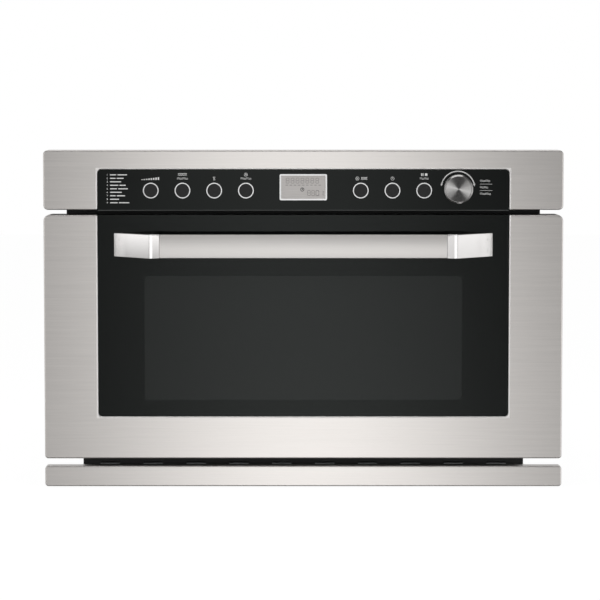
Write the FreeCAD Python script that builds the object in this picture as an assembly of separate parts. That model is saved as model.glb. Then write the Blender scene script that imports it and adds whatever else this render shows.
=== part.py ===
import FreeCAD, Part
import math
import os
from FreeCAD import Vector

# All sizes are in millimetres. X runs to the right, Y to the back and Z up.
# Y is zero at the cabinet face and Z is zero on the shelf the casing stands on.

# Front elevation
FRONT_WIDTH = 758.0
TRIM_LIFT = 1.5
TRIM_HEIGHT = 30.2
TRIM_GAP = 11.0
PANEL_GAP = 7.3
PANEL_HEIGHT = 86.7
PANEL_RISE = 16.2
STILE_WIDTH = 79.0
DOOR_RAIL = 62.0
PANEL_RAIL = 27.9
WINDOW_SIDE = 4.0
WINDOW_EDGE = 22.0
WINDOW_RISE_SHARE = 0.39
PANEL_CORNER = 6.5
DOOR_TOP_CORNER = 9.0
FRONT_CORNER = 4.8
GLASS_CORNER = 5.5
WINDOW_CORNER = 6.0

# Depths of the front
FRONT_DEPTH = 44.0
GLASS_RECESS = 1.2
SKIN = 1.0
EDGE_RADIUS = 2.0
LIP_DEPTH = 4.0
LEG_CORNER = 2.6
TRIM_DEPTH = 20.0
PANEL_BACK_GAP = 4.0

# Casing
BODY_INSET = 57.0
BODY_HEIGHT = 478.0
BODY_DEPTH = 500.0
BASE = 1.2
SHEET = 1.0
PLATE = 1.2
COVER_CORNER = 4.0
UPSTAND = 15.0
UPSTAND_SETBACK = 10.0
BACK_FLANGE = 12.0
FLANGE = 1.5
FLANGE_REACH = 26.5
FLANGE_LEG = 30.0
FLANGE_BOTTOM = 60.0
FLANGE_TOP_DROP = 10.0
MOUNT_SPACING = 200.0
MOUNT_HOLE = 2.5

# Cooking cavity
CAVITY_SIDE_ROOM = 86.0
CAVITY_MARGIN = 69.5
CAVITY_BACK_ROOM = 100.0
CAVITY_BEND = 14.0
LAMP_HOLE = 2.0
LAMP_PITCH = 8.0
LAMP_COLUMNS = 5
LAMP_ROWS = 4
AIR_PITCH_SHARE = 0.125
AIR_HOLE_SHARE = 0.21
AIR_RINGS = 4
OUTLET_ROWS = 9
OUTLET_INSET = 6.0

# Clearances
FIT = 0.3
RUN = 0.05
LOOSE = 0.6
OVERRUN = 5.0
NEAR = 0.001

# Door
DOOR_SEAL = 1.5
LINER = 3.5
LINER_INSET = 1.5
CAP = 2.5
INNER = 1.0
SCREEN = 0.8
DOOR_GLASS = 4.0
INNER_GLASS_MARGIN = 14.0
GLASS_FIT = 0.4
RIM_INSET = 10.0
CHOKE_INSET = 24.0
CHOKE_DEPTH = 18.0
PANE_CHAMFER = 0.8

# Door hinge
HINGE_SETBACK = 17.0
HINGE_RISE = 22.0
HINGE_INSET = 20.5
HINGE_PLATE = 3.0
HINGE_BOSS = 8.0
HINGE_PIN = 4.0
HINGE_FOOT = 20.0
HINGE_FOOT_HEIGHT = 34.0
HINGE_FOOT_PLATE = 2.0
EAR = 2.0
EAR_GAP = 0.5
EAR_HEIGHT = 46.0
EAR_DEPTH = 28.0
LINER_DROP = 4.5
FLANGE_TAIL = 4.0
SPRING_WIRE = 1.6
SPRING_TURNS = 8
SPRING_PITCH = 2.0

# Handle
HANDLE_INSET = 24.0
BAR_JOINT_SETBACK = 11.3
BAR_HEIGHT = 35.2
BAR_THICKNESS = 12.0
BAR_ROUND = 3.0
HANDLE_REACH = 52.0
HANDLE_DROP = 43.5
BRACKET_THICKNESS = 13.0
BRACKET_ROUND = 1.2
HANDLE_SCREW_PITCH = 16.0
HANDLE_SCREW_DEPTH = 8.0

# Door latches
LATCH_INSET = 52.0
LATCH_DROP = 28.0
LATCH_PLATE = 4.0
LATCH_PIVOT_DEPTH = 17.0
LATCH_PIN = 2.5
LATCH_HEIGHT = 9.0
LATCH_TAIL = 6.0
LATCH_REACH = 23.0
LATCH_NECK = 12.0
LATCH_TOOTH = 3.0
LATCH_SLOPE = 6.0
LATCH_EAR = 2.0
LATCH_EAR_SIZE = 16.0
LATCH_SLOT_BELOW = 9.5
LATCH_SLOT_ABOVE = 15.0
SWITCH_WALL = 2.0
SWITCH_BAY = 14.0
SWITCH_DEPTH = 36.0
SWITCH_BODY = 10.0
SWITCH_LENGTH = 28.0
SWITCH_HEIGHT = 16.0

# Control panel
PANEL_GLASS = 5.0
PANEL_GLASS_DROP = 1.2
BUTTONS_LEFT = 4
BUTTONS_RIGHT = 3
BUTTON_FIRST_SHARE = 0.2788
BUTTON_LAST_SHARE = 0.7408
BUTTON_DROP = 58.5
BUTTON_RADIUS = 9.7
BUTTON_TRAVEL = 1.2
BUTTON_SUNK = 0.2
BUTTON_COLLAR = 1.8
BUTTON_COLLAR_THICK = 1.0
BUTTON_STEM = 3.0
RING_WIDTH = 1.4
RING_RAISE = 0.8
RING_SLEEVE = 0.6
RING_SLEEVE_DEPTH = 3.0
DISPLAY_WIDTH = 69.0
DISPLAY_HEIGHT = 38.0
DISPLAY_FRAME = 2.2
DISPLAY_SEAT = 1.2
DISPLAY_DROP = 53.6
DISPLAY_RAISE = 1.0
DISPLAY_CORNER = 2.0
KNOB_SHARE = 0.7505
KNOB_DROP = 55.8
KNOB_RADIUS = 20.8
KNOB_HEIGHT = 21.0
KNOB_WALL = 2.2
KNOB_HUB = 6.5
KNOB_ROUND = 1.6
KNOB_GAP = 1.5
KNOB_TRAVEL = 1.0
SHAFT = 3.0
SHAFT_FLAT = 1.6
SHAFT_IN_KNOB = 14.0
SHAFT_HOLE = 5.0
HOUSING_WALL = 5.0
HOUSING_RIB = 2.5
HOUSING_INSET = 7.0
HOUSING_RISE = 6.0
PAD_MARGIN = 10.0
POST = 3.0
POST_LENGTH = 10.8
BOARD = 1.6
BOARD_MARGIN = 5.0
TACT_SIZE = 6.0
TACT_HEIGHT = 4.0
ENCODER_SIZE = 13.0
ENCODER_DEPTH = 7.0
BUSHING = 4.5
BUSHING_LENGTH = 6.0
CABLE_HOLE_WIDTH = 60.0
CABLE_HOLE_HEIGHT = 20.0

# Vent strip below the door
GRILLE = 5.0
GRILLE_HEIGHT = 21.0
GRILLE_DROP = 1.5
GRILLE_OVERHANG = 3.5
SLOT_COUNT = 10
SLOT_END = 9.0
SLOT_LENGTH = 29.0
SLOT_HEIGHT = 5.0
SLOT_RISE = 11.0

# Turntable
TRAY_MARGIN = 22.0
TRAY_GLASS = 5.0
TRAY_RIM = 6.0
TRAY_RIM_WIDTH = 8.0
TRAY_RIM_ROUND = 3.0
WHEEL_RADIUS = 7.2
WHEEL_WIDTH = 8.0
WHEEL_INSET = 66.0
WHEEL_COUNT = 3
AXLE = 2.0
RING_BAND = 7.0
RING_HEIGHT = 6.0
COUPLING_RADIUS = 14.0
COUPLING_SHAFT = 3.5
COUPLING_GAP = 1.4
COUPLING_HOLE = 6.0
LUG = 4.0
LUG_HEIGHT = 5.0
LOBE_WIDTH = 8.0
LOBE_COUNT = 3
TABLE_MOTOR_RADIUS = 24.0
TABLE_MOTOR_HEIGHT = 18.0
TABLE_MOTOR_TAB = 66.0
TABLE_MOTOR_TAB_WIDTH = 18.0
TABLE_SHAFT_DEPTH = 10.0

# Hot air unit behind the cavity
PAN_ROOM = 15.0
PAN_DEPTH = 46.0
PAN_RIM = 12.0
RING_HEATER_SHARE = 0.86
TUBE = 3.25
RING_HEATER_DEPTH = 20.0
RING_HEATER_GAP_ANGLE = 24.0
RING_HEATER_CUT_SHARE = 1.3
HEATER_TAIL = 12.0
WHEEL_FAN_SHARE = 0.67
WHEEL_FAN_HUB = 12.0
WHEEL_FAN_BLADE = 24.0
WHEEL_FAN_SHEET = 1.2
WHEEL_FAN_BLADES = 10
WHEEL_FAN_SETBACK = 36.0
FAN_SHAFT = 4.0
AIR_MOTOR_RADIUS = 36.0
AIR_MOTOR_DEPTH = 30.0
AIR_MOTOR_GAP = 12.0
AIR_MOTOR_LEGS = 3
AIR_MOTOR_LEG = 4.0
AIR_SHAFT_DEPTH = 20.0

# Grill element under the cavity ceiling
GRILL_DROP = 12.0
GRILL_RUNS = 4
GRILL_PITCH = 80.0
GRILL_FRONT = 90.0
CLIP_WIDTH = 12.0
CLIP_THICK = 4.0
CLIP_BELOW = 3.0

# Microwave source
GUIDE_DEPTH = 38.0
GUIDE_WIDTH = 90.0
GUIDE_CENTRE_SHARE = 0.4875
GUIDE_PORT_HEIGHT = 50.0
GUIDE_PORT_WIDTH = 70.0
GUIDE_PORT_DROP = 100.0
GUIDE_FOOT = 14.0
GUIDE_TOP_GAP = 20.0
MICA = 0.8
MICA_MARGIN = 10.0
YOKE_LENGTH = 60.0
YOKE_WIDTH = 80.0
YOKE_HEIGHT = 76.0
YOKE_WALL = 1.6
YOKE_TOP_GAP = 26.0
ANODE_RADIUS = 20.0
MAGNET_RADIUS = 27.0
MAGNET = 11.0
FIN = 0.8
FIN_COUNT = 6
FIN_MARGIN = 2.0
ANTENNA_RADIUS = 8.0
ANTENNA_LENGTH = 20.0
ANTENNA_HOLE = 10.0
FILTER_BOX = 26.0
FILTER_BOX_SIZE = 54.0

# Power parts on the base
CORE_WIDTH = 100.0
CORE_DEPTH = 66.0
CORE_HEIGHT = 82.0
CORE_LEG = 16.0
CORE_CENTRE_LEG = 32.0
CORE_X = 150.0
WINDING_OVERHANG = 12.0
CAN_WIDTH = 54.0
CAN_HEIGHT = 34.0
CAN_LENGTH = 104.0
CAN_ROUND = 16.0
CAN_X = -150.0
CAN_SETBACK = 20.0
STRAP = 1.0
STRAP_WIDTH = 20.0
STRAP_FOOT = 14.0
TERMINAL_WIDTH = 6.3
TERMINAL_THICK = 0.8
TERMINAL_LENGTH = 12.0

# Cooling fan
FAN_FRAME = 100.0
FAN_BORE = 46.0
FAN_INSET = 132.0
FAN_DROP = 72.0
FAN_MOTOR = 20.0
FAN_MOTOR_DEPTH = 14.0
FAN_STRUT = 5.0
FAN_HUB = 17.0
FAN_AXIAL_GAP = 1.5
FAN_BLADES = 5
FAN_BLADE_SHEET = 1.5
FAN_BLADE_CHORD = 22.0
FAN_BLADE_ANGLE = 35.0
FAN_TIP_GAP = 1.5
FAN_AXLE = 2.0
FAN_AXLE_DEPTH = 6.0

# Lamp on the left cavity wall
LAMP_SIZE = 50.0
LAMP_DEPTH = 40.0
LAMP_Y = 90.0
LAMP_DROP = 34.0
LAMP_WALL = 1.5
BULB = 10.0
BULB_LENGTH = 26.0

# Screws and the cord gland
SCREW = 1.9
SCREW_HOLE = 2.0
SCREW_HEAD = 4.0
SCREW_HEAD_HEIGHT = 2.2
SCREW_LENGTH = 8.0
RECESS_WIDTH = 1.0
RECESS_LENGTH = 4.6
RECESS_DEPTH = 1.2
HANDLE_SCREW = 2.4
LINER_SCREW_INSET = 20.0
LINER_SCREW_LENGTH = 8.0
GLAND = 10.0
GLAND_FLANGE = 15.0
GLAND_FLANGE_THICK = 4.0
GLAND_LENGTH = 16.0
GLAND_BORE = 4.5
GLAND_INSET = 82.0
GLAND_Z = 70.0
VENT_COUNT = 8
VENT_PITCH = 12.0
VENT_LENGTH = 70.0
VENT_WIDTH = 5.0

# Levels and planes that follow from the sizes above
HALF_FRONT = FRONT_WIDTH / 2
FRONT_FACE = -FRONT_DEPTH
GLASS_FACE = FRONT_FACE + GLASS_RECESS
TRIM_TOP = TRIM_LIFT + TRIM_HEIGHT
DOOR_BOTTOM = TRIM_TOP + TRIM_GAP
PANEL_TOP = BODY_HEIGHT + PANEL_RISE
PANEL_BOTTOM = PANEL_TOP - PANEL_HEIGHT
PANEL_DEPTH = FRONT_DEPTH - PANEL_BACK_GAP
DOOR_TOP = PANEL_BOTTOM - PANEL_GAP
GLASS_HALF = HALF_FRONT - STILE_WIDTH
DOOR_GLASS_BOTTOM = DOOR_BOTTOM + DOOR_RAIL
PANEL_GLASS_TOP = PANEL_TOP - PANEL_RAIL
HALF_BODY = HALF_FRONT - BODY_INSET
INSIDE_HALF = HALF_BODY - SHEET
PLATE_FACE = -PLATE
BACK_FACE = BODY_DEPTH - SHEET
FLANGE_TOP = BODY_HEIGHT - FLANGE_TOP_DROP
FLANGE_MIDDLE = (FLANGE_BOTTOM + FLANGE_TOP) / 2
HALF_CAVITY = HALF_BODY - CAVITY_SIDE_ROOM
CAVITY_DEPTH = BODY_DEPTH - CAVITY_BACK_ROOM
CAVITY_HEIGHT = DOOR_TOP - DOOR_GLASS_BOTTOM - CAVITY_MARGIN
CAVITY_CENTRE = DOOR_GLASS_BOTTOM + (DOOR_TOP - DOOR_GLASS_BOTTOM) * WINDOW_RISE_SHARE
CAVITY_FLOOR = CAVITY_CENTRE - CAVITY_HEIGHT / 2
CAVITY_CEILING = CAVITY_CENTRE + CAVITY_HEIGHT / 2
CAVITY_BACK = CAVITY_DEPTH + SHEET
CAVITY_SIDE = HALF_CAVITY + SHEET
DOOR_BACK = PLATE_FACE - DOOR_SEAL
LINER_FRONT = DOOR_BACK - LINER
INNER_FRONT = LINER_FRONT - INNER
SCREEN_FRONT = INNER_FRONT - SCREEN
DOOR_GLASS_BACK = GLASS_FACE + DOOR_GLASS
PANEL_GLASS_BACK = GLASS_FACE + PANEL_GLASS
HINGE_Y = FRONT_FACE + HINGE_SETBACK
HINGE_Z = DOOR_BOTTOM + HINGE_RISE
HINGE_X = HALF_BODY - HINGE_INSET
LINER_BOTTOM = HINGE_Z - LINER_DROP
LINER_HALF = HALF_FRONT - LINER_INSET
INNER_TOP = DOOR_TOP - CAP
LATCH_X = HALF_BODY - LATCH_INSET
LATCH_Y = INNER_FRONT - LATCH_PIVOT_DEPTH + LATCH_TAIL
LATCH_Z = DOOR_TOP - LATCH_DROP
HANDLE_Z = DOOR_TOP - HANDLE_DROP
HANDLE_FACE = FRONT_FACE - HANDLE_REACH
HANDLE_HALF = GLASS_HALF - HANDLE_INSET
BRACKET_BEND = HANDLE_HALF - (GLASS_FACE - HANDLE_FACE)
BAR_HALF = BRACKET_BEND - BAR_JOINT_SETBACK
BUTTON_Z = PANEL_TOP - BUTTON_DROP
DISPLAY_Z = PANEL_TOP - DISPLAY_DROP
KNOB_Z = PANEL_TOP - KNOB_DROP
KNOB_X = GLASS_HALF * KNOB_SHARE
HOUSING_BACK = PANEL_GLASS_BACK + HOUSING_WALL
BOARD_FRONT = HOUSING_BACK + POST_LENGTH
KNOB_BACK = GLASS_FACE - KNOB_GAP
TABLE_Y = CAVITY_DEPTH / 2
TRAY_RADIUS = min(HALF_CAVITY, TABLE_Y) - TRAY_MARGIN
WHEEL_TRACK = TRAY_RADIUS - WHEEL_INSET
TRAY_BOTTOM = CAVITY_FLOOR + 2 * (WHEEL_RADIUS + FIT)
AXLE_Z = CAVITY_FLOOR + FIT + WHEEL_RADIUS
PAN_HALF = CAVITY_HEIGHT / 2 - PAN_ROOM
RING_HEATER_RADIUS = PAN_HALF * RING_HEATER_SHARE
WHEEL_FAN_RADIUS = PAN_HALF * WHEEL_FAN_SHARE
AIR_PITCH = PAN_HALF * AIR_PITCH_SHARE
AIR_HOLE = AIR_PITCH * AIR_HOLE_SHARE
GRILL_BACK = CAVITY_DEPTH - GRILL_FRONT
GUIDE_CENTRE = CAVITY_DEPTH * GUIDE_CENTRE_SHARE
GUIDE_PORT_Z = CAVITY_CEILING - GUIDE_PORT_DROP
GUIDE_BOTTOM = GUIDE_PORT_Z - GUIDE_PORT_HEIGHT / 2 - GUIDE_FOOT
GUIDE_TOP = BODY_HEIGHT - GUIDE_TOP_GAP
YOKE_Z = BODY_HEIGHT - YOKE_TOP_GAP - YOKE_HEIGHT / 2
CAN_Y = TABLE_Y + CAN_SETBACK
GLAND_X = GLAND_INSET - HALF_BODY
FAN_X = HALF_BODY - FAN_INSET
FAN_Z = BODY_HEIGHT - FAN_DROP
FAN_HUB_DEPTH = FAN_BLADE_CHORD
FAN_DEPTH = FAN_MOTOR_DEPTH + FAN_HUB_DEPTH + 2 * FAN_AXIAL_GAP
SLOT_PITCH = (2 * HALF_BODY - SLOT_END) / SLOT_COUNT
BUTTON_FIRST = GLASS_HALF * BUTTON_FIRST_SHARE
BUTTON_PITCH = (GLASS_HALF * BUTTON_LAST_SHARE - BUTTON_FIRST) / (BUTTONS_LEFT - 1)
LEFT_XS = [-BUTTON_FIRST - step * BUTTON_PITCH for step in reversed(range(BUTTONS_LEFT))]
BUTTON_XS = LEFT_XS + [BUTTON_FIRST + step * BUTTON_PITCH for step in range(BUTTONS_RIGHT)]

RIGHT = Vector(1, 0, 0)
BACK = Vector(0, 1, 0)
UP = Vector(0, 0, 1)
ORIGIN = Vector(0, 0, 0)


def about(centre, size):
    return (centre - size / 2, centre + size / 2)


def grown(span, margin):
    return (span[0] - margin, span[1] + margin)


def block(x, y, z):
    return Part.makeBox(x[1] - x[0], y[1] - y[0], z[1] - z[0], Vector(x[0], y[0], z[0]))


def rod(start, axis, radius, length):
    return Part.makeCylinder(radius, length, start, axis)


def fuse(*shapes):
    return shapes[0].multiFuse(list(shapes[1:])).removeSplitter()


def mirrored(shape):
    return shape.mirror(ORIGIN, RIGHT)


def both_sides(shape):
    return Part.makeCompound([shape, mirrored(shape)])


def round_along(body, axis, radius, test):
    """Rounds the straight edges along one axis whose middle passes the test."""
    chosen = []
    for edge in body.Edges:
        run = edge.Vertexes[-1].Point - edge.Vertexes[0].Point
        if abs(run.dot(axis)) > NEAR and run.cross(axis).Length < NEAR and test(edge.CenterOfMass):
            chosen.append(edge)
    return body.makeFillet(radius, chosen)


def plate(x, y, z, low_radius, high_radius):
    """A block whose corners are rounded as seen from the front."""
    body = block(x, y, z)
    middle = sum(z) / 2
    if low_radius:
        body = round_along(body, BACK, low_radius, lambda point: point.z < middle)
    if high_radius:
        body = round_along(body, BACK, high_radius, lambda point: point.z > middle)
    return body


def frame(x, y, z, wall):
    """A rectangular ring, open from front to back."""
    return block(x, y, z).cut(block(grown(x, -wall), grown(y, OVERRUN), grown(z, -wall)))


def extruded(points, axis, length):
    wire = Part.makePolygon(points + points[:1])
    return Part.Face(wire).extrude(axis * length)


def rounded_outline(corners, y):
    """A face standing at depth y, from square corners given as (x, z, radius)."""
    starts = []
    arcs = []
    ends = []
    for number, (x, z, radius) in enumerate(corners):
        corner = Vector(x, y, z)
        before = Vector(corners[number - 1][0], y, corners[number - 1][1]) - corner
        following = corners[(number + 1) % len(corners)]
        after = Vector(following[0], y, following[1]) - corner
        start = corner + before.normalize() * radius
        end = corner + after.normalize() * radius
        centre = start + end - corner
        middle = centre + (corner - centre).normalize() * radius
        starts.append(start)
        ends.append(end)
        arcs.append(Part.Arc(start, middle, end).toShape())
    edges = []
    for number, arc in enumerate(arcs):
        edges.append(arc)
        edges.append(Part.makeLine(ends[number], starts[(number + 1) % len(arcs)]))
    return Part.Face(Part.Wire(edges))


def folded_front(outline, inside, depth):
    """A stainless front: a face with a soft edge and flanges turned back all round."""
    body = rounded_outline(outline, FRONT_FACE).extrude(BACK * depth)
    rim = [edge for edge in body.Edges if edge.BoundBox.YMax < FRONT_FACE + NEAR]
    body = body.makeFillet(EDGE_RADIUS, rim)
    return body.cut(rounded_outline(inside, FRONT_FACE + SKIN).extrude(BACK * depth))


def u_corners(closed_z, open_z, notch_z, closed_radius, open_radius, inset):
    """The corners of a front whose glass opening runs out at one end, drawn in by an inset."""
    up = math.copysign(inset, open_z - closed_z)
    outer = HALF_FRONT - inset
    inner = GLASS_HALF + inset
    right = [
        (outer, closed_z + up, closed_radius - inset),
        (outer, open_z - up, open_radius - inset),
        (inner, open_z - up, LEG_CORNER - inset),
        (inner, notch_z - up, GLASS_CORNER + inset),
    ]
    return right + [(-x, z, radius) for x, z, radius in reversed(right)]


def u_front(closed_z, open_z, notch_z, closed_radius, open_radius, depth):
    """A front with a glass opening, whose edges are turned back only as short lips."""
    outline = u_corners(closed_z, open_z, notch_z, closed_radius, open_radius, 0)
    inside = u_corners(closed_z, open_z, notch_z, closed_radius, open_radius, SKIN)
    body = folded_front(outline, inside, depth)
    half = GLASS_HALF + SKIN
    behind = (FRONT_FACE + LIP_DEPTH, FRONT_FACE + depth + OVERRUN)
    away = math.copysign(SKIN, open_z - closed_z)
    levels = (notch_z - away, open_z + math.copysign(OVERRUN, away))
    return body.cut(block((-half, half), behind, (min(levels), max(levels))))


def screw(head_seat, outward, radius, length):
    """A pan head screw with a cross recess, its head standing on the seat point."""
    head = rod(ORIGIN, UP, SCREW_HEAD, SCREW_HEAD_HEIGHT)
    recess_z = (SCREW_HEAD_HEIGHT - RECESS_DEPTH, SCREW_HEAD_HEIGHT + OVERRUN)
    for x_size, y_size in ((RECESS_WIDTH, RECESS_LENGTH), (RECESS_LENGTH, RECESS_WIDTH)):
        head = head.cut(block(about(0, x_size), about(0, y_size), recess_z))
    body = head.fuse(rod(Vector(0, 0, -length), UP, radius, length)).removeSplitter()
    body.Placement = FreeCAD.Placement(head_seat, FreeCAD.Rotation(UP, outward))
    return body


def swept_tube(edges, radius):
    """A round tube along a chain of edges, which starts along the Y axis."""
    path = Part.Wire(edges)
    start = edges[0].valueAt(edges[0].FirstParameter)
    circle = Part.Wire(Part.makeCircle(radius, start, BACK))
    return path.makePipeShell([circle], True, False)


def make_control_fascia():
    return u_front(PANEL_TOP, PANEL_BOTTOM, PANEL_GLASS_TOP, PANEL_CORNER, PANEL_CORNER, PANEL_DEPTH)


def make_control_glass():
    x = (-GLASS_HALF + GLASS_FIT, GLASS_HALF - GLASS_FIT)
    z = (PANEL_BOTTOM - PANEL_GLASS_DROP, PANEL_GLASS_TOP - GLASS_FIT)
    pane = plate(x, (GLASS_FACE, PANEL_GLASS_BACK), z, 0, GLASS_CORNER - GLASS_FIT)
    bottom = [
        edge
        for edge in pane.Edges
        if abs(edge.CenterOfMass.z - z[0]) < NEAR and abs(edge.CenterOfMass.y - GLASS_FACE) < NEAR
    ]
    pane = pane.makeChamfer(PANE_CHAMFER, bottom)
    depth = PANEL_GLASS + 2 * OVERRUN
    for x_centre in BUTTON_XS:
        hole = Vector(x_centre, GLASS_FACE - OVERRUN, BUTTON_Z)
        pane = pane.cut(rod(hole, BACK, BUTTON_RADIUS + FIT + RING_SLEEVE + RUN, depth))
    pane = pane.cut(rod(Vector(KNOB_X, GLASS_FACE - OVERRUN, KNOB_Z), BACK, SHAFT_HOLE, depth))
    opening_x = about(0, DISPLAY_WIDTH - 2 * DISPLAY_SEAT)
    opening_z = about(DISPLAY_Z, DISPLAY_HEIGHT - 2 * DISPLAY_SEAT)
    return pane.cut(block(opening_x, grown((GLASS_FACE, PANEL_GLASS_BACK), OVERRUN), opening_z))


def make_panel_trims():
    trims = []
    inner = BUTTON_RADIUS + FIT
    for x_centre in BUTTON_XS:
        start = Vector(x_centre, GLASS_FACE - RING_RAISE, BUTTON_Z)
        flange = rod(start, BACK, inner + RING_WIDTH, RING_RAISE)
        sleeve = rod(start, BACK, inner + RING_SLEEVE, RING_RAISE + RING_SLEEVE_DEPTH)
        ring = fuse(flange, sleeve)
        trims.append(ring.cut(rod(start, BACK, inner, RING_RAISE + RING_SLEEVE_DEPTH)))
    x = about(0, DISPLAY_WIDTH)
    z = about(DISPLAY_Z, DISPLAY_HEIGHT)
    bezel = plate(x, (GLASS_FACE - DISPLAY_RAISE, GLASS_FACE), z, DISPLAY_CORNER, DISPLAY_CORNER)
    window_y = (GLASS_FACE - DISPLAY_RAISE - OVERRUN, GLASS_FACE + OVERRUN)
    trims.append(bezel.cut(block(grown(x, -DISPLAY_FRAME), window_y, grown(z, -DISPLAY_FRAME))))
    return Part.makeCompound(trims)


def make_display_screen():
    x = about(0, DISPLAY_WIDTH - 2 * (DISPLAY_SEAT + FIT))
    z = about(DISPLAY_Z, DISPLAY_HEIGHT - 2 * (DISPLAY_SEAT + FIT))
    return block(x, (GLASS_FACE, PANEL_GLASS_BACK), z)


def make_button(x_centre):
    """A cap in its ring, a collar held behind the glass and a stem towards its switch."""
    front = GLASS_FACE - RING_RAISE + BUTTON_SUNK
    collar = PANEL_GLASS_BACK + FIT
    stem_end = BOARD_FRONT - TACT_HEIGHT - BUTTON_TRAVEL - FIT
    cap = rod(Vector(x_centre, front, BUTTON_Z), BACK, BUTTON_RADIUS, collar - front)
    collar_radius = BUTTON_RADIUS + BUTTON_COLLAR
    disc = rod(Vector(x_centre, collar, BUTTON_Z), BACK, collar_radius, BUTTON_COLLAR_THICK)
    stem = rod(Vector(x_centre, collar, BUTTON_Z), BACK, BUTTON_STEM, stem_end - collar)
    return fuse(cap, disc, stem)


def shaft_section(radius, flat, start, length):
    """A round bar along Y with one flat on its upper side."""
    bar = rod(Vector(KNOB_X, start, KNOB_Z), BACK, radius, length)
    above = (KNOB_Z + flat, KNOB_Z + 2 * radius)
    return bar.cut(block(about(KNOB_X, 2 * radius), grown((start, start + length), OVERRUN), above))


def make_encoder_shaft():
    tip = KNOB_BACK - SHAFT_IN_KNOB
    neck = GLASS_FACE
    flatted = shaft_section(SHAFT, SHAFT_FLAT, tip, neck - tip)
    end = BOARD_FRONT - FIT
    return fuse(flatted, rod(Vector(KNOB_X, neck, KNOB_Z), BACK, SHAFT, end - neck))


def make_knob():
    face = KNOB_BACK - KNOB_HEIGHT
    centre = Vector(KNOB_X, face, KNOB_Z)
    body = rod(centre, BACK, KNOB_RADIUS, KNOB_HEIGHT)
    rim = [edge for edge in body.Edges if edge.Closed and abs(edge.CenterOfMass.y - face) < NEAR]
    body = body.makeFillet(KNOB_ROUND, rim)
    pocket_start = Vector(KNOB_X, face + KNOB_WALL + KNOB_ROUND, KNOB_Z)
    pocket = rod(pocket_start, BACK, KNOB_RADIUS - KNOB_WALL, KNOB_HEIGHT)
    body = body.cut(pocket.cut(rod(pocket_start, BACK, KNOB_HUB, KNOB_HEIGHT)))
    bore_end = KNOB_BACK - SHAFT_IN_KNOB - KNOB_TRAVEL - FIT
    bore = shaft_section(SHAFT + RUN, SHAFT_FLAT + RUN, bore_end, KNOB_BACK + OVERRUN - bore_end)
    return body.cut(bore)


def board_spans():
    half = HALF_BODY - HOUSING_INSET - HOUSING_RIB - BOARD_MARGIN
    low = PANEL_BOTTOM + HOUSING_RISE + HOUSING_RIB + BOARD_MARGIN
    return (-half, half), (low, PANEL_GLASS_TOP - BOARD_MARGIN)


def make_control_housing():
    edge = SKIN + FIT
    wall_z = (PANEL_BOTTOM + LEG_CORNER + FIT, PANEL_TOP - edge)
    wall_x = (-HALF_FRONT + edge, HALF_FRONT - edge)
    corner = PANEL_CORNER - edge
    wall = plate(wall_x, (PANEL_GLASS_BACK, HOUSING_BACK), wall_z, corner, corner)
    pad_x = (GLASS_HALF + SKIN + LOOSE, HALF_FRONT - PAD_MARGIN)
    pad = block(pad_x, (FRONT_FACE + SKIN, PANEL_GLASS_BACK), grown(wall_z, -PAD_MARGIN))
    rib_x = (-HALF_BODY + HOUSING_INSET, HALF_BODY - HOUSING_INSET)
    rib_z = (PANEL_BOTTOM + HOUSING_RISE, BODY_HEIGHT - HOUSING_RIB)
    rib = frame(rib_x, (HOUSING_BACK, PLATE_FACE), rib_z, HOUSING_RIB)
    board_x, board_z = board_spans()
    posts = []
    for x in (board_x[0] + BOARD_MARGIN, board_x[1] - BOARD_MARGIN):
        for z in (board_z[0] + BOARD_MARGIN, board_z[1] - BOARD_MARGIN):
            posts.append(rod(Vector(x, HOUSING_BACK, z), BACK, POST, POST_LENGTH))
    body = fuse(wall, pad, mirrored(pad), rib, *posts)
    pocket_depth = FIT + BUTTON_COLLAR_THICK + BUTTON_TRAVEL + FIT
    for x in BUTTON_XS:
        start = Vector(x, PANEL_GLASS_BACK, BUTTON_Z)
        body = body.cut(rod(start, BACK, BUTTON_RADIUS + BUTTON_COLLAR + FIT, pocket_depth))
        body = body.cut(rod(start, BACK, BUTTON_STEM + FIT, HOUSING_WALL + OVERRUN))
    start = Vector(KNOB_X, PANEL_GLASS_BACK - OVERRUN, KNOB_Z)
    return body.cut(rod(start, BACK, BUSHING + FIT, HOUSING_WALL + 2 * OVERRUN))


def make_control_board():
    """The board, one push switch behind each button and the encoder behind the knob."""
    x, z = board_spans()
    pieces = [block(x, (BOARD_FRONT, BOARD_FRONT + BOARD), z)]
    for x_centre in BUTTON_XS:
        switch_y = (BOARD_FRONT - TACT_HEIGHT, BOARD_FRONT)
        pieces.append(block(about(x_centre, TACT_SIZE), switch_y, about(BUTTON_Z, TACT_SIZE)))
    face = BOARD_FRONT - ENCODER_DEPTH
    case = block(about(KNOB_X, ENCODER_SIZE), (face, BOARD_FRONT), about(KNOB_Z, ENCODER_SIZE))
    bushing = rod(Vector(KNOB_X, face - BUSHING_LENGTH, KNOB_Z), BACK, BUSHING, BUSHING_LENGTH)
    bore_length = BUSHING_LENGTH + ENCODER_DEPTH
    bore = rod(Vector(KNOB_X, face - BUSHING_LENGTH, KNOB_Z), BACK, SHAFT + RUN, bore_length)
    pieces.append(fuse(case, bushing).cut(bore))
    return Part.makeCompound(pieces)


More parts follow.
